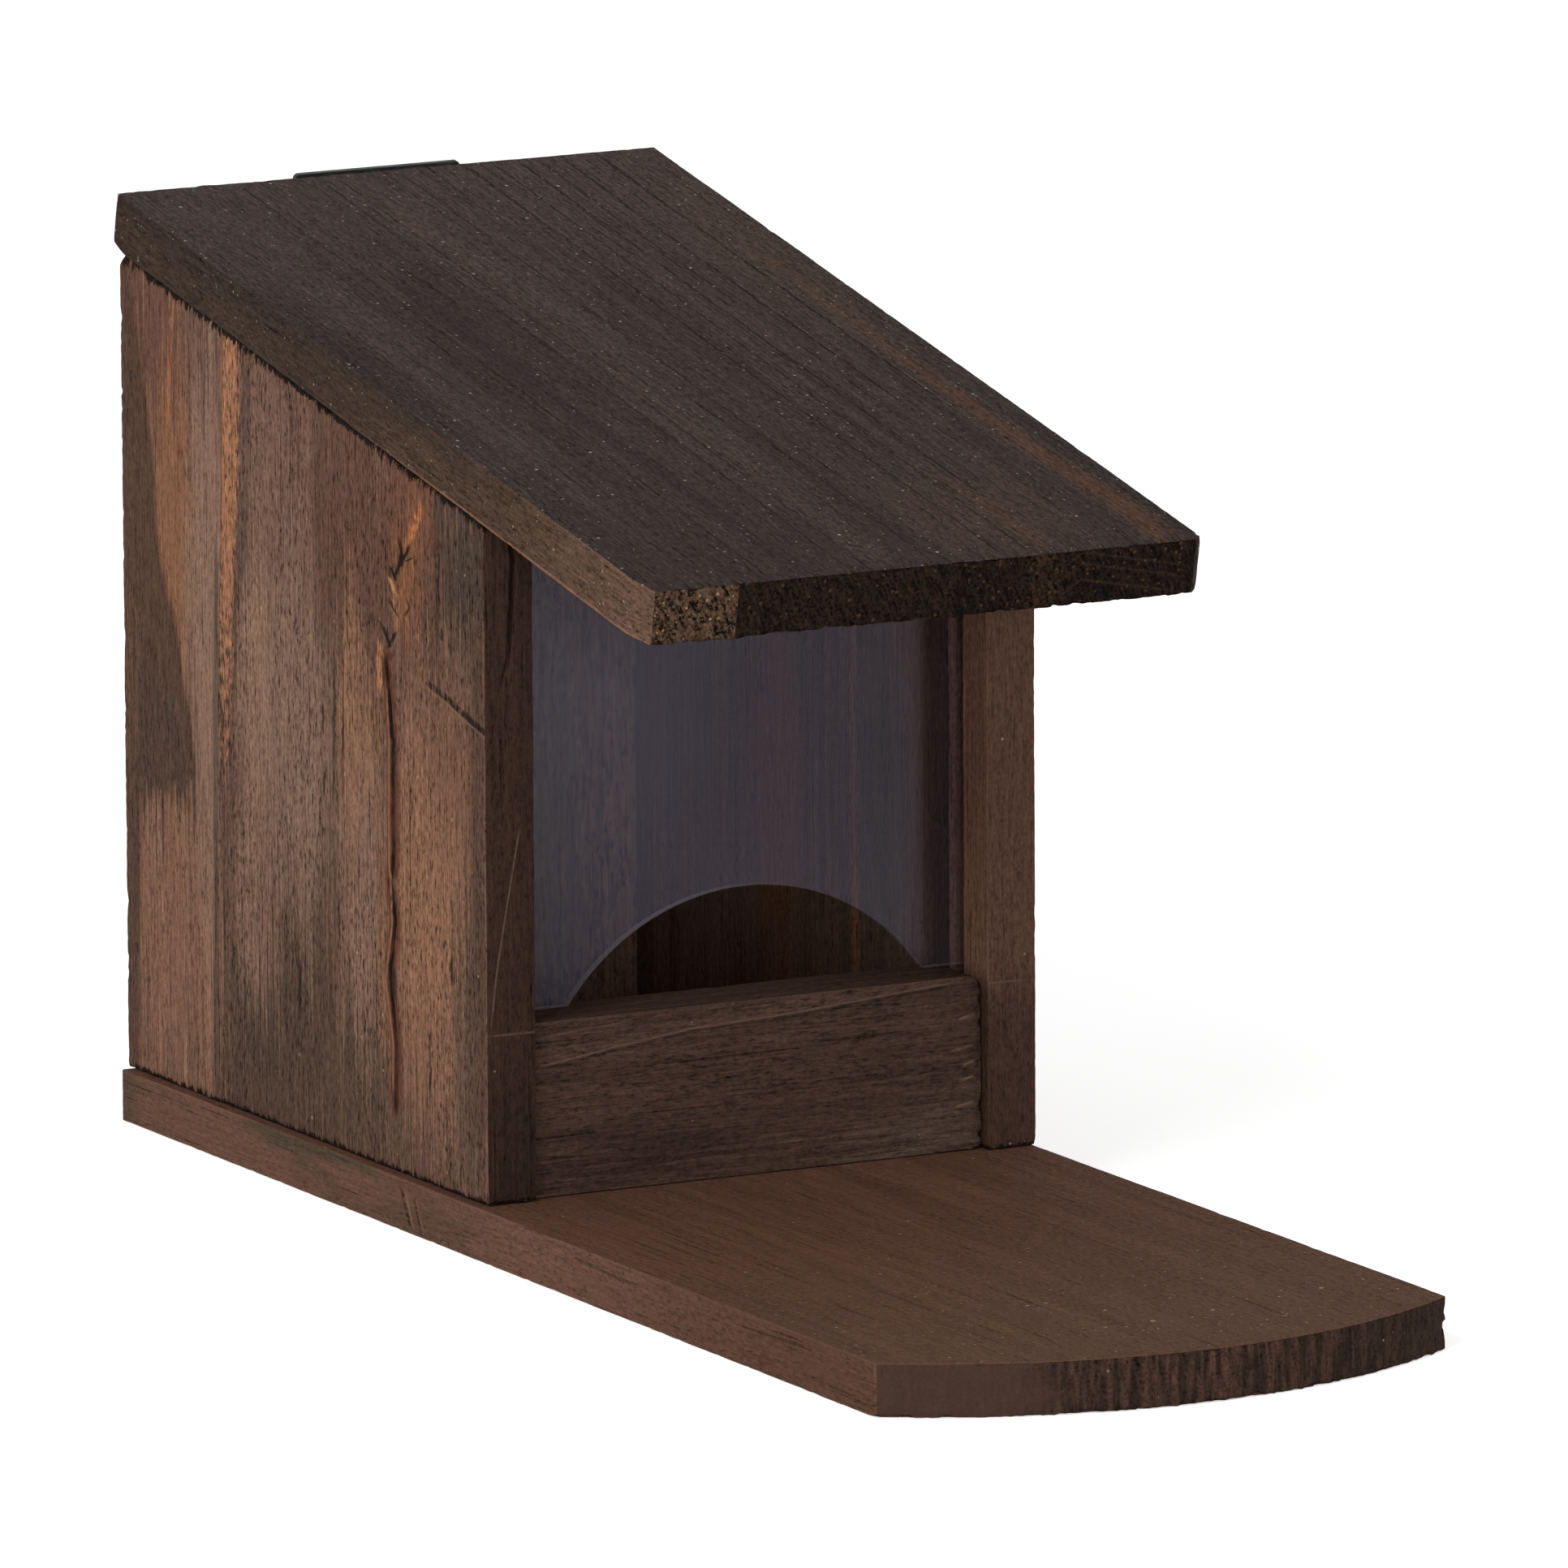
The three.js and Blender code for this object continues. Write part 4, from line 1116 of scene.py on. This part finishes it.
class BuildRail(PieceOperator, bpy.types.Operator):
    """Builds the low rail that the pane stands on"""

    bl_idname = "feeder.rail"
    bl_label = "Front rail"

    def execute(self, context):
        low, high = node_box("front_rail")
        size = high - low
        bend = 3.0

        def place(share):
            """A straight rail. Over its last part the top falls along a quarter circle."""
            x = low[X] + share[:, 0] * size[0]
            past = np.clip(x - (high[X] - bend), 0, bend)
            top = high[Z] - bend + np.sqrt(np.maximum(bend ** 2 - past ** 2, 0))
            z = low[Z] + share[:, 2] * (top - low[Z])
            return np.stack([x, low[Y] + share[:, 1] * size[1], z], axis=1)

        def ragged(flat, points):
            """The end at the right is torn."""
            return 0.3 + step(size[0] - 3, size[0] - 1, flat[:, 0]) * 1.6

        surface = worn_board("rail", size, place, (0.8, 0.7, 0.6), X, 25, self.shape(context),
                             fine={0: [(size[0] - 3, size[0] - 0.6, 0.25)]}, ragged=ragged)
        tint = self.tint(context)
        wood = Wood("rail_stain", (Z, Y, X), 6, tint)
        wood.stain(tint.rail, scaled(tint.rail, 0.82), scaled(tint.rail, 1.22), 0.35)
        front = wood.only(Y, -1)
        torn = [(-47.5, 35.4), (-45.7, 35.7), (-29.3, 38.0), (-13.6, 39.9), (9.9, 40.9),
                (30.0, 42.4), (44.1, 43.4)]
        above = [(x, z + 1.2) for x, z in torn]
        wood.streak(above, 2.0, seen(80, 60, 50), 0.6, 0.5, 6, front)
        wood.patch((14, 42), (8, 14), seen(84, 70, 60), 0.6, front)
        wood.patch((18, -22), (6, 20), seen(50, 35, 29), 0.7, front)
        wood.detail(0.9, 0.5)
        wood.scratch(torn, 0.4, seen(112, 90, 76), 0.5, side=front)
        wood.scratch([(x, z - 0.6) for x, z in torn], 0.5, seen(36, 26, 21), 0.5, side=front)
        wood.scratch([(-46, 41.3), (-36, 42.0), (-25, 42.7)], 0.35, seen(104, 84, 70), 0.5,
                     side=front)
        for height, start in ((30, 42), (24, 44), (19, 43), (27, 45), (36, 44)):
            wood.scratch([(start, height), (48, height + 0.8)], 0.45, seen(124, 96, 76), 0.6,
                         side=front)
        wood.specks(5.0, 0.24, 0.3, 0.7, 1.0, 1)
        wood.end_grain(seen(50, 38, 31), 0.8)
        build(*surface, "house", "base_wood", ["front_rail"], wood.finish())
        return {"FINISHED"}


class BuildPane(PieceOperator, bpy.types.Operator):
    """Builds the clear pane with its arched mouth"""

    bl_idname = "feeder.pane"
    bl_label = "Front pane"

    def execute(self, context):
        low, high = node_box("front_pane")
        size = high - low
        arch, rise, aside = 47.0, 19.7, 3.3
        middle = node_middle("front_rail")[X] + aside
        foot = low[Z] + rise - arch
        reach = math.sqrt(arch ** 2 - (low[Z] - foot) ** 2)

        def place(share):
            """A flat sheet. Its lower edge is the rail's top, or the arch where that is
            higher: the circle's middle plus the square root of radius squared less x squared."""
            x = low[X] + share[:, 0] * size[0]
            over = foot + np.sqrt(np.maximum(arch ** 2 - (x - middle) ** 2, 0))
            under = np.maximum(low[Z], over)
            z = under + share[:, 2] * (high[Z] - under)
            return np.stack([x, low[Y] + share[:, 1] * size[1], z], axis=1)

        round_off = 0.16
        start, stop = middle - reach - low[X], middle + reach - low[X]
        grid = [lines(size[0], 3.0, round_off, [(start, stop, 0.8)]),
                lines(size[1], 0.9, round_off), lines(size[2], 6.0, round_off)]
        flat, quads = lattice(*grid)
        inner = np.clip(flat, round_off, size - round_off)
        away = flat - inner
        reach_out = np.linalg.norm(away, axis=1, keepdims=True)
        points = place((inner + away / reach_out * round_off) / size)
        facing = normals(points, quads)
        face = np.abs(facing[:, Y])
        tint = self.tint(context)
        finish = Finish("acrylic_haze_painted_reflection")
        spot = finish.millimetres()
        cloud = finish.noise(finish.shade(spot, 0.03))
        across, _, height = finish.parts(spot)
        # Haze: partly scuffs and dust, partly a painted reflection; the lighter rim is a painted
        # highlight
        rim = finish.ramp(finish.layer("face", "Fac"), 0.9, 0.5)
        # Painted reflection with the haze, heavier towards the top left
        towards = finish.ramp(height - across * 0.8 + (cloud - 0.5) * 60, 70, 170, 0.0, 0.12)
        # Less haze and painted reflection near the right edge
        thinner_veil_at_right = finish.ramp(across, 41.5, 44.0, 0.0, 0.07)
        material = finish.close(
            {"IOR": 1.49, "Roughness": 0.05}, None,
            **{"Base Color": finish.mix(rim, tint.pane, seen(170, 166, 172)),
               "Alpha": towards + 0.105 - thinner_veil_at_right + rim * 0.25})
        build("pane", points, quads, {"face": face}, "house", "acrylic", ["front_pane"],
              material)
        return {"FINISHED"}


class BuildLid(PieceOperator, bpy.types.Operator):
    """Builds the lid's three glued staves"""

    bl_idname = "feeder.lid"
    bl_label = "Lid"

    left_edge, right_edge = -58.75, 58.75
    left_joint, right_joint = -39.75, 6.25
    rear, length = -2.28, 226.2
    under, thick = -rear * math.tan(LID_PITCH / 2), 11.2
    # The facets at the front corners, and the lift before the rear: their depth and length
    left_cut, right_cut, rear_lift = (1.3, 8.0), (1.6, 1.6), (1.05, 4.9)

    def stave(self, context, name, left, right, seed):
        """A stave of the lid between two places across it."""
        front = self.rear - self.length
        width = right - left

        def place(share):
            """A flat stave. The outer sides are cut back at the front corners by straight
            facets, and the underside rises over the last part before the rear."""
            y = front + share[:, 1] * self.length
            (left_depth, left_length), (right_depth, right_length) = self.left_cut, self.right_cut
            cut_left = left_depth * step_line(left_length, 0, y - front) * (left == self.left_edge)
            cut_right = right_depth * step_line(right_length, 0, y - front)
            cut_right = cut_right * (right == self.right_edge)
            x = left + cut_left + share[:, 0] * (width - cut_left - cut_right)
            lift = self.rear_lift[0] * step_line(-self.rear_lift[1], 0, y - self.rear)
            z = self.under + lift + share[:, 2] * (self.thick - lift)
            return np.stack([x, y, z], axis=1)

        def sharp(flat):
            """The arrises at the glue joints stay nearly sharp."""
            near_left = step(2.5, 0.8, flat[:, 0]) * (left != self.left_edge)
            near_right = step(width - 2.5, width - 0.8, flat[:, 0]) * (right != self.right_edge)
            return 1 - 0.94 * np.maximum(near_left, near_right)

        def ragged(flat, points):
            """The lower arris at the front is torn, and the upper one a little."""
            ahead = step(4, 0.5, flat[:, 1])
            return 0.3 + ahead * np.where(flat[:, 2] < self.thick / 2, 1.7, 1.0)

        return worn_board(name, (width, self.length, self.thick), place, (0.62, 1.25, 0.62), Y,
                          seed, self.shape(context), fine={1: [(0.6, 3.6, 0.5)]}, ragged=ragged,
                          sharp=sharp)

    def finish(self, tint, name, seed, marks):
        """Dark stain, lighter at the rear, under a stave's own marks and specks of dust."""
        wood = Wood(name, (X, Z, Y), seed, tint, on_lid=True)
        wood.stain(tint.lid, scaled(tint.lid, 0.72), scaled(tint.lid, 1.28), 0.13)
        top = wood.only(Z, 1)
        wood.paint(top * wood.ramp(wood.along, -140, -220) * 0.7, scaled(tint.lid, 0.74))
        wood.paint(top * wood.ramp(wood.along, -100, -10) * 0.65, scaled(tint.lid, 1.38))
        marks(wood, top)
        for shift, spacing, size, share, amount, tone in (
            (1, 1.5, 0.19, 0.5, 0.9, (170, 154, 132)),
            (2, 2.6, 0.24, 0.5, 1.0, (214, 204, 186)),
            (3, 2.6, 0.22, 0.35, 0.9, (168, 120, 78)),
        ):
            wood.specks(spacing, size, share, amount, wood.face, shift, seen(*tone))
        return wood.finish(0.8)

    def left_marks(self, wood, top):
        """The left stave: its side lightens towards the front, and its end grain is bare."""
        side = wood.only(X, -1)
        wood.paint(side * 0.95, seen(64, 49, 40))
        wood.paint(side * wood.ramp(wood.along, -80, -150) * 0.85, seen(79, 61, 48))
        wood.paint(side * wood.ramp(wood.along, -165, -225) * 0.9, seen(104, 79, 64))
        upper = wood.ramp(wood.deep + wood.sway * 8, self.under + 5, self.under + 10)
        wood.paint(side * upper * wood.ramp(wood.along, -190, -120) * 0.6, seen(50, 41, 37))
        low_arris = wood.ramp(abs(wood.deep - self.under - 0.3), 0.65, 0.2) * side
        wood.paint(low_arris * wood.ramp(wood.along, -100, -160, 0.0, 0.65), seen(150, 106, 81))
        wood.detail(1.1, 0.4)
        wood.end_grain(seen(80, 61, 47), 2.1, END_SLANT)
        wood.specks(0.9, 0.28, 0.5, 0.9, wood.end, 4, seen(190, 155, 112))
        wood.specks(1.6, 0.55, 0.4, 0.95, wood.end, 6, seen(18, 12, 9))
        dusty = wood.ramp(abs(wood.across + 58.2), 1.3, 0.2) * top
        wood.specks(1.4, 0.28, 0.3, 0.8, dusty, 5)

    def middle_marks(self, wood, top):
        """The middle stave: two wide streaks and long fine cracks, and dark end grain."""
        wood.streaks(
            ([(-228, -25), (-166, -27), (-60, -28)], 3.0, (46, 38, 38), 0.7, 1.0),
            ([(-228, -8), (-120, -9), (-4, -10)], 5.0, (74, 60, 51), 0.5, 1.4))
        wood.detail(1.1, 0.4)
        for place in (-33, -16, -12, 1.5):
            wood.crack([(-228, place), (-120, place + 0.6), (-4, place)], 0.35, 0.6, 0.12, top)
        wood.end_grain(seen(34, 24, 17), 2.0, END_SLANT)
        wood.specks(1.1, 0.3, 0.3, 0.8, wood.end, 4, seen(86, 64, 46))

    def right_marks(self, wood, top):
        """The right stave: brown streaks, long cracks, and rings in its end grain."""
        side = wood.only(X, 1)
        wood.paint(side * 0.9, seen(74, 58, 47))
        wood.streaks(
            ([(-228, 51.5), (-207, 51.9), (-170, 49), (-60, 50)], [(-228, 7), (-60, 2)],
             (84, 60, 46), 0.7, 1.6),
            ([(-228, 26.6), (-205, 26.5), (-190, 27)], 3, (88, 62, 49), 0.6, 1.2))
        wood.patches([
            ((22, -205), (18, 26), (74, 58, 48), 0.6),
            ((50, -60), (9, 60), (74, 60, 51), 0.6),
        ], top)
        wood.detail(1.1, 0.4)
        for place, start, width in ((16.4, -228, 0.45), (27.9, -200, 0.45), (37.3, -150, 0.5),
                                    (45.3, -150, 0.5), (32.2, -90, 0.35), (22.3, -228, 0.3)):
            wood.crack([(start, place), (start / 2, place - 0.4), (-3, place)], width, 0.8, 0.15,
                       top)
        ring = [(26, 4), (33, 8.6), (44, 6.4), (57, 3.6)]
        patch = wood.ramp(abs(wood.across - 25 + wood.jitter * 6), 6, 1)
        brown = wood.mix(patch * 0.5, seen(30, 20, 14), seen(56, 40, 29))
        wood.end_grain(brown, 2.1, END_SLANT)
        for rise in (-3.2, 0, 2.2):
            wood.scratch([(x, z + rise) for x, z in ring], 0.45, seen(70, 52, 40), 0.35,
                         wood.across, wood.deep, wood.end)
        wood.specks(1.1, 0.3, 0.35, 0.8, wood.end, 4, seen(92, 69, 50))

    def execute(self, context):
        tint = self.tint(context)
        # The staves meet in the glue, a little past each other's worn sides.
        half_glue = -0.12
        for name, node, left, right, seed, marks in (
            ("lid_left", "lid_left_stave", self.left_edge, self.left_joint - half_glue, 31,
             self.left_marks),
            ("lid_middle", "lid_middle_stave", self.left_joint + half_glue,
             self.right_joint - half_glue, 32, self.middle_marks),
            ("lid_right", "lid_right_stave", self.right_joint + half_glue, self.right_edge, 33,
             self.right_marks),
        ):
            surface = self.stave(context, name, left, right, seed)
            finish = self.finish(tint, f"{name}_stain", seed - 24, marks)
            build(*surface, "lid", "lid_wood", [node], finish, LID_TURN)
        return {"FINISHED"}


class BuildMetal(PieceOperator, bpy.types.Operator):
    """Paints the hinge black and plates the screws and brads"""

    bl_idname = "feeder.metal"
    bl_label = "Hinge and fixings"

    def coat(self, name, tone, worn_tone, metallic, roughness):
        """Paint or plating with small worn spots, and a gloss that changes in slow clouds."""
        finish = Finish(name)
        spot = finish.millimetres()
        grit = finish.noise(finish.shade(spot, 2.2), 3.0, 0.6)
        cloud = finish.noise(finish.shade(spot, 0.3))
        worn = finish.ramp(grit + cloud, 1.15, 1.35)
        return finish.close(
            {"IOR": 1.5}, grit * 0.04,
            **{"Base Color": finish.mix(worn, tone, worn_tone),
               "Metallic": finish.ramp(worn, 0, 1, metallic, 0.9),
               "Roughness": finish.ramp(cloud, 0.3, 0.7, roughness - 0.08, roughness + 0.12)})

    def execute(self, context):
        tint = self.tint(context)
        black = self.coat("black_paint", tint.black, seen(84, 80, 76), 0.0, 0.42)
        zinc = self.coat("zinc_plate", tint.zinc, seen(96, 84, 70), 0.85, 0.4)
        stained = self.coat("stained_zinc", seen(44, 34, 28), tint.zinc, 0.3, 0.6)
        for name, node in frame["nodes"].items():
            finish = None
            if name.startswith("hinge"):
                finish = black
            elif "_screw_" in name:
                finish = zinc
            elif name.startswith("brad"):
                finish = stained
            if finish is not None:
                node.data.materials.clear()
                node.data.materials.append(finish)
        return {"FINISHED"}


class BuildStudio(PieceOperator, bpy.types.Operator):
    """Sets up the floor, the soft lights, the white surroundings and the camera"""

    bl_idname = "feeder.studio"
    bl_label = "Studio"

    lamp_aim = 0.08

    def floor(self, context):
        """A plain pale floor, white where it is seen, that keeps the feeder's shadow."""
        half, glow = 8.0, 0.58
        corners = [(-half, -half, 0), (half, -half, 0), (half, half, 0), (-half, half, 0)]
        mesh = bpy.data.meshes.new("floor")
        mesh.from_pydata(corners, [], [(0, 1, 2, 3)])
        floor = bpy.data.objects.new("floor", mesh)
        context.scene.collection.objects.link(floor)
        paper = Finish("floor_paper")
        floor.data.materials.append(paper.close(
            {"Base Color": (*context.scene.feeder_studio.floor, 1), "Roughness": 1.0,
             "Specular IOR Level": 0.0, "Emission Strength": glow}, None,
            **{"Emission Color": paper.mix(paper.shown(), (0, 0, 0), (1, 1, 1))}))

    def lamp(self, context, name, place, size, power):
        """A soft square lamp, aimed at the feeder."""
        light = bpy.data.lights.new(name, "AREA")
        light.shape = "SQUARE"
        light.size = size
        light.energy = power
        lamp = bpy.data.objects.new(name, light)
        lamp.location = place
        towards = Vector((0, 0, self.lamp_aim)) - Vector(place)
        lamp.rotation_euler = towards.to_track_quat("-Z", "Y").to_euler()
        lamp.visible_camera = False
        context.scene.collection.objects.link(lamp)

    def surroundings(self, context, sky):
        """White where it is seen, and a level of even light otherwise."""
        air = Finish("studio", bpy.data.worlds)
        context.scene.world = air.owner
        light = air.node("ShaderNodeBackground", None,
                         {"Strength": air.ramp(air.shown(), 0, 1, sky, 1.0)})
        air.node("ShaderNodeOutputWorld", None, {0: light})

    def camera(self, context, studio):
        """The camera, turned by yaw, pitch and roll, at its distance from where it looks."""
        turn = (Matrix.Rotation(-studio.yaw, 3, "Z")
                @ Matrix.Rotation(math.pi / 2 + studio.pitch, 3, "X")
                @ Matrix.Rotation(studio.roll, 3, "Z"))
        data = bpy.data.cameras.new("camera")
        data.lens = studio.lens
        data.sensor_width = 36.0
        data.clip_end = 50.0
        camera = bpy.data.objects.new("camera", data)
        ahead = turn @ Vector((0, 0, -1))
        camera.matrix_world = (Matrix.Translation(Vector(studio.aim) - ahead * studio.distance)
                               @ turn.to_4x4())
        context.scene.collection.objects.link(camera)
        context.scene.camera = camera

    def execute(self, context):
        studio = context.scene.feeder_studio
        context.scene.view_settings.view_transform = "Standard"
        self.floor(context)
        self.surroundings(context, studio.sky)
        for name, place, size, power in (("key", (-2.6, -1.5, 2.3), 1.6, 58),
                                         ("fill", (-1.0, -3.2, 0.5), 1.4, 40),
                                         ("rim", (2.6, -1.6, 1.6), 1.6, 14)):
            self.lamp(context, name, place, size, power)
        self.camera(context, studio)
        return {"FINISHED"}


OPERATORS = (BuildStudio, BuildBase, BuildWalls, BuildBack, BuildRail, BuildPane, BuildLid,
             BuildMetal)


class FeederPanel(bpy.types.Panel):
    """Lists the feeder's pieces and settings in the sidebar"""

    bl_idname = "VIEW3D_PT_feeder"
    bl_label = "Squirrel feeder"
    bl_space_type = "VIEW_3D"
    bl_region_type = "UI"
    bl_category = "Feeder"

    def draw(self, context):
        for operator in OPERATORS:
            self.layout.operator(operator.bl_idname)
        for settings in (context.scene.feeder_shape, context.scene.feeder_colours,
                         context.scene.feeder_studio):
            for key in settings.__annotations__:
                self.layout.prop(settings, key)


SETTINGS = {"feeder_shape": FeederShape, "feeder_colours": FeederColours,
            "feeder_studio": FeederStudio}


def register():
    for kind in (*SETTINGS.values(), *OPERATORS, FeederPanel):
        bpy.utils.register_class(kind)
    for name, kind in SETTINGS.items():
        setattr(bpy.types.Scene, name, bpy.props.PointerProperty(type=kind))


def unregister():
    for name in SETTINGS:
        delattr(bpy.types.Scene, name)
    for kind in (FeederPanel, *reversed(OPERATORS), *reversed(SETTINGS.values())):
        bpy.utils.unregister_class(kind)


def main():
    register()
    for operator in OPERATORS:
        group, name = operator.bl_idname.split(".")
        getattr(getattr(bpy.ops, group), name)()


if __name__ == "__main__":
    main()
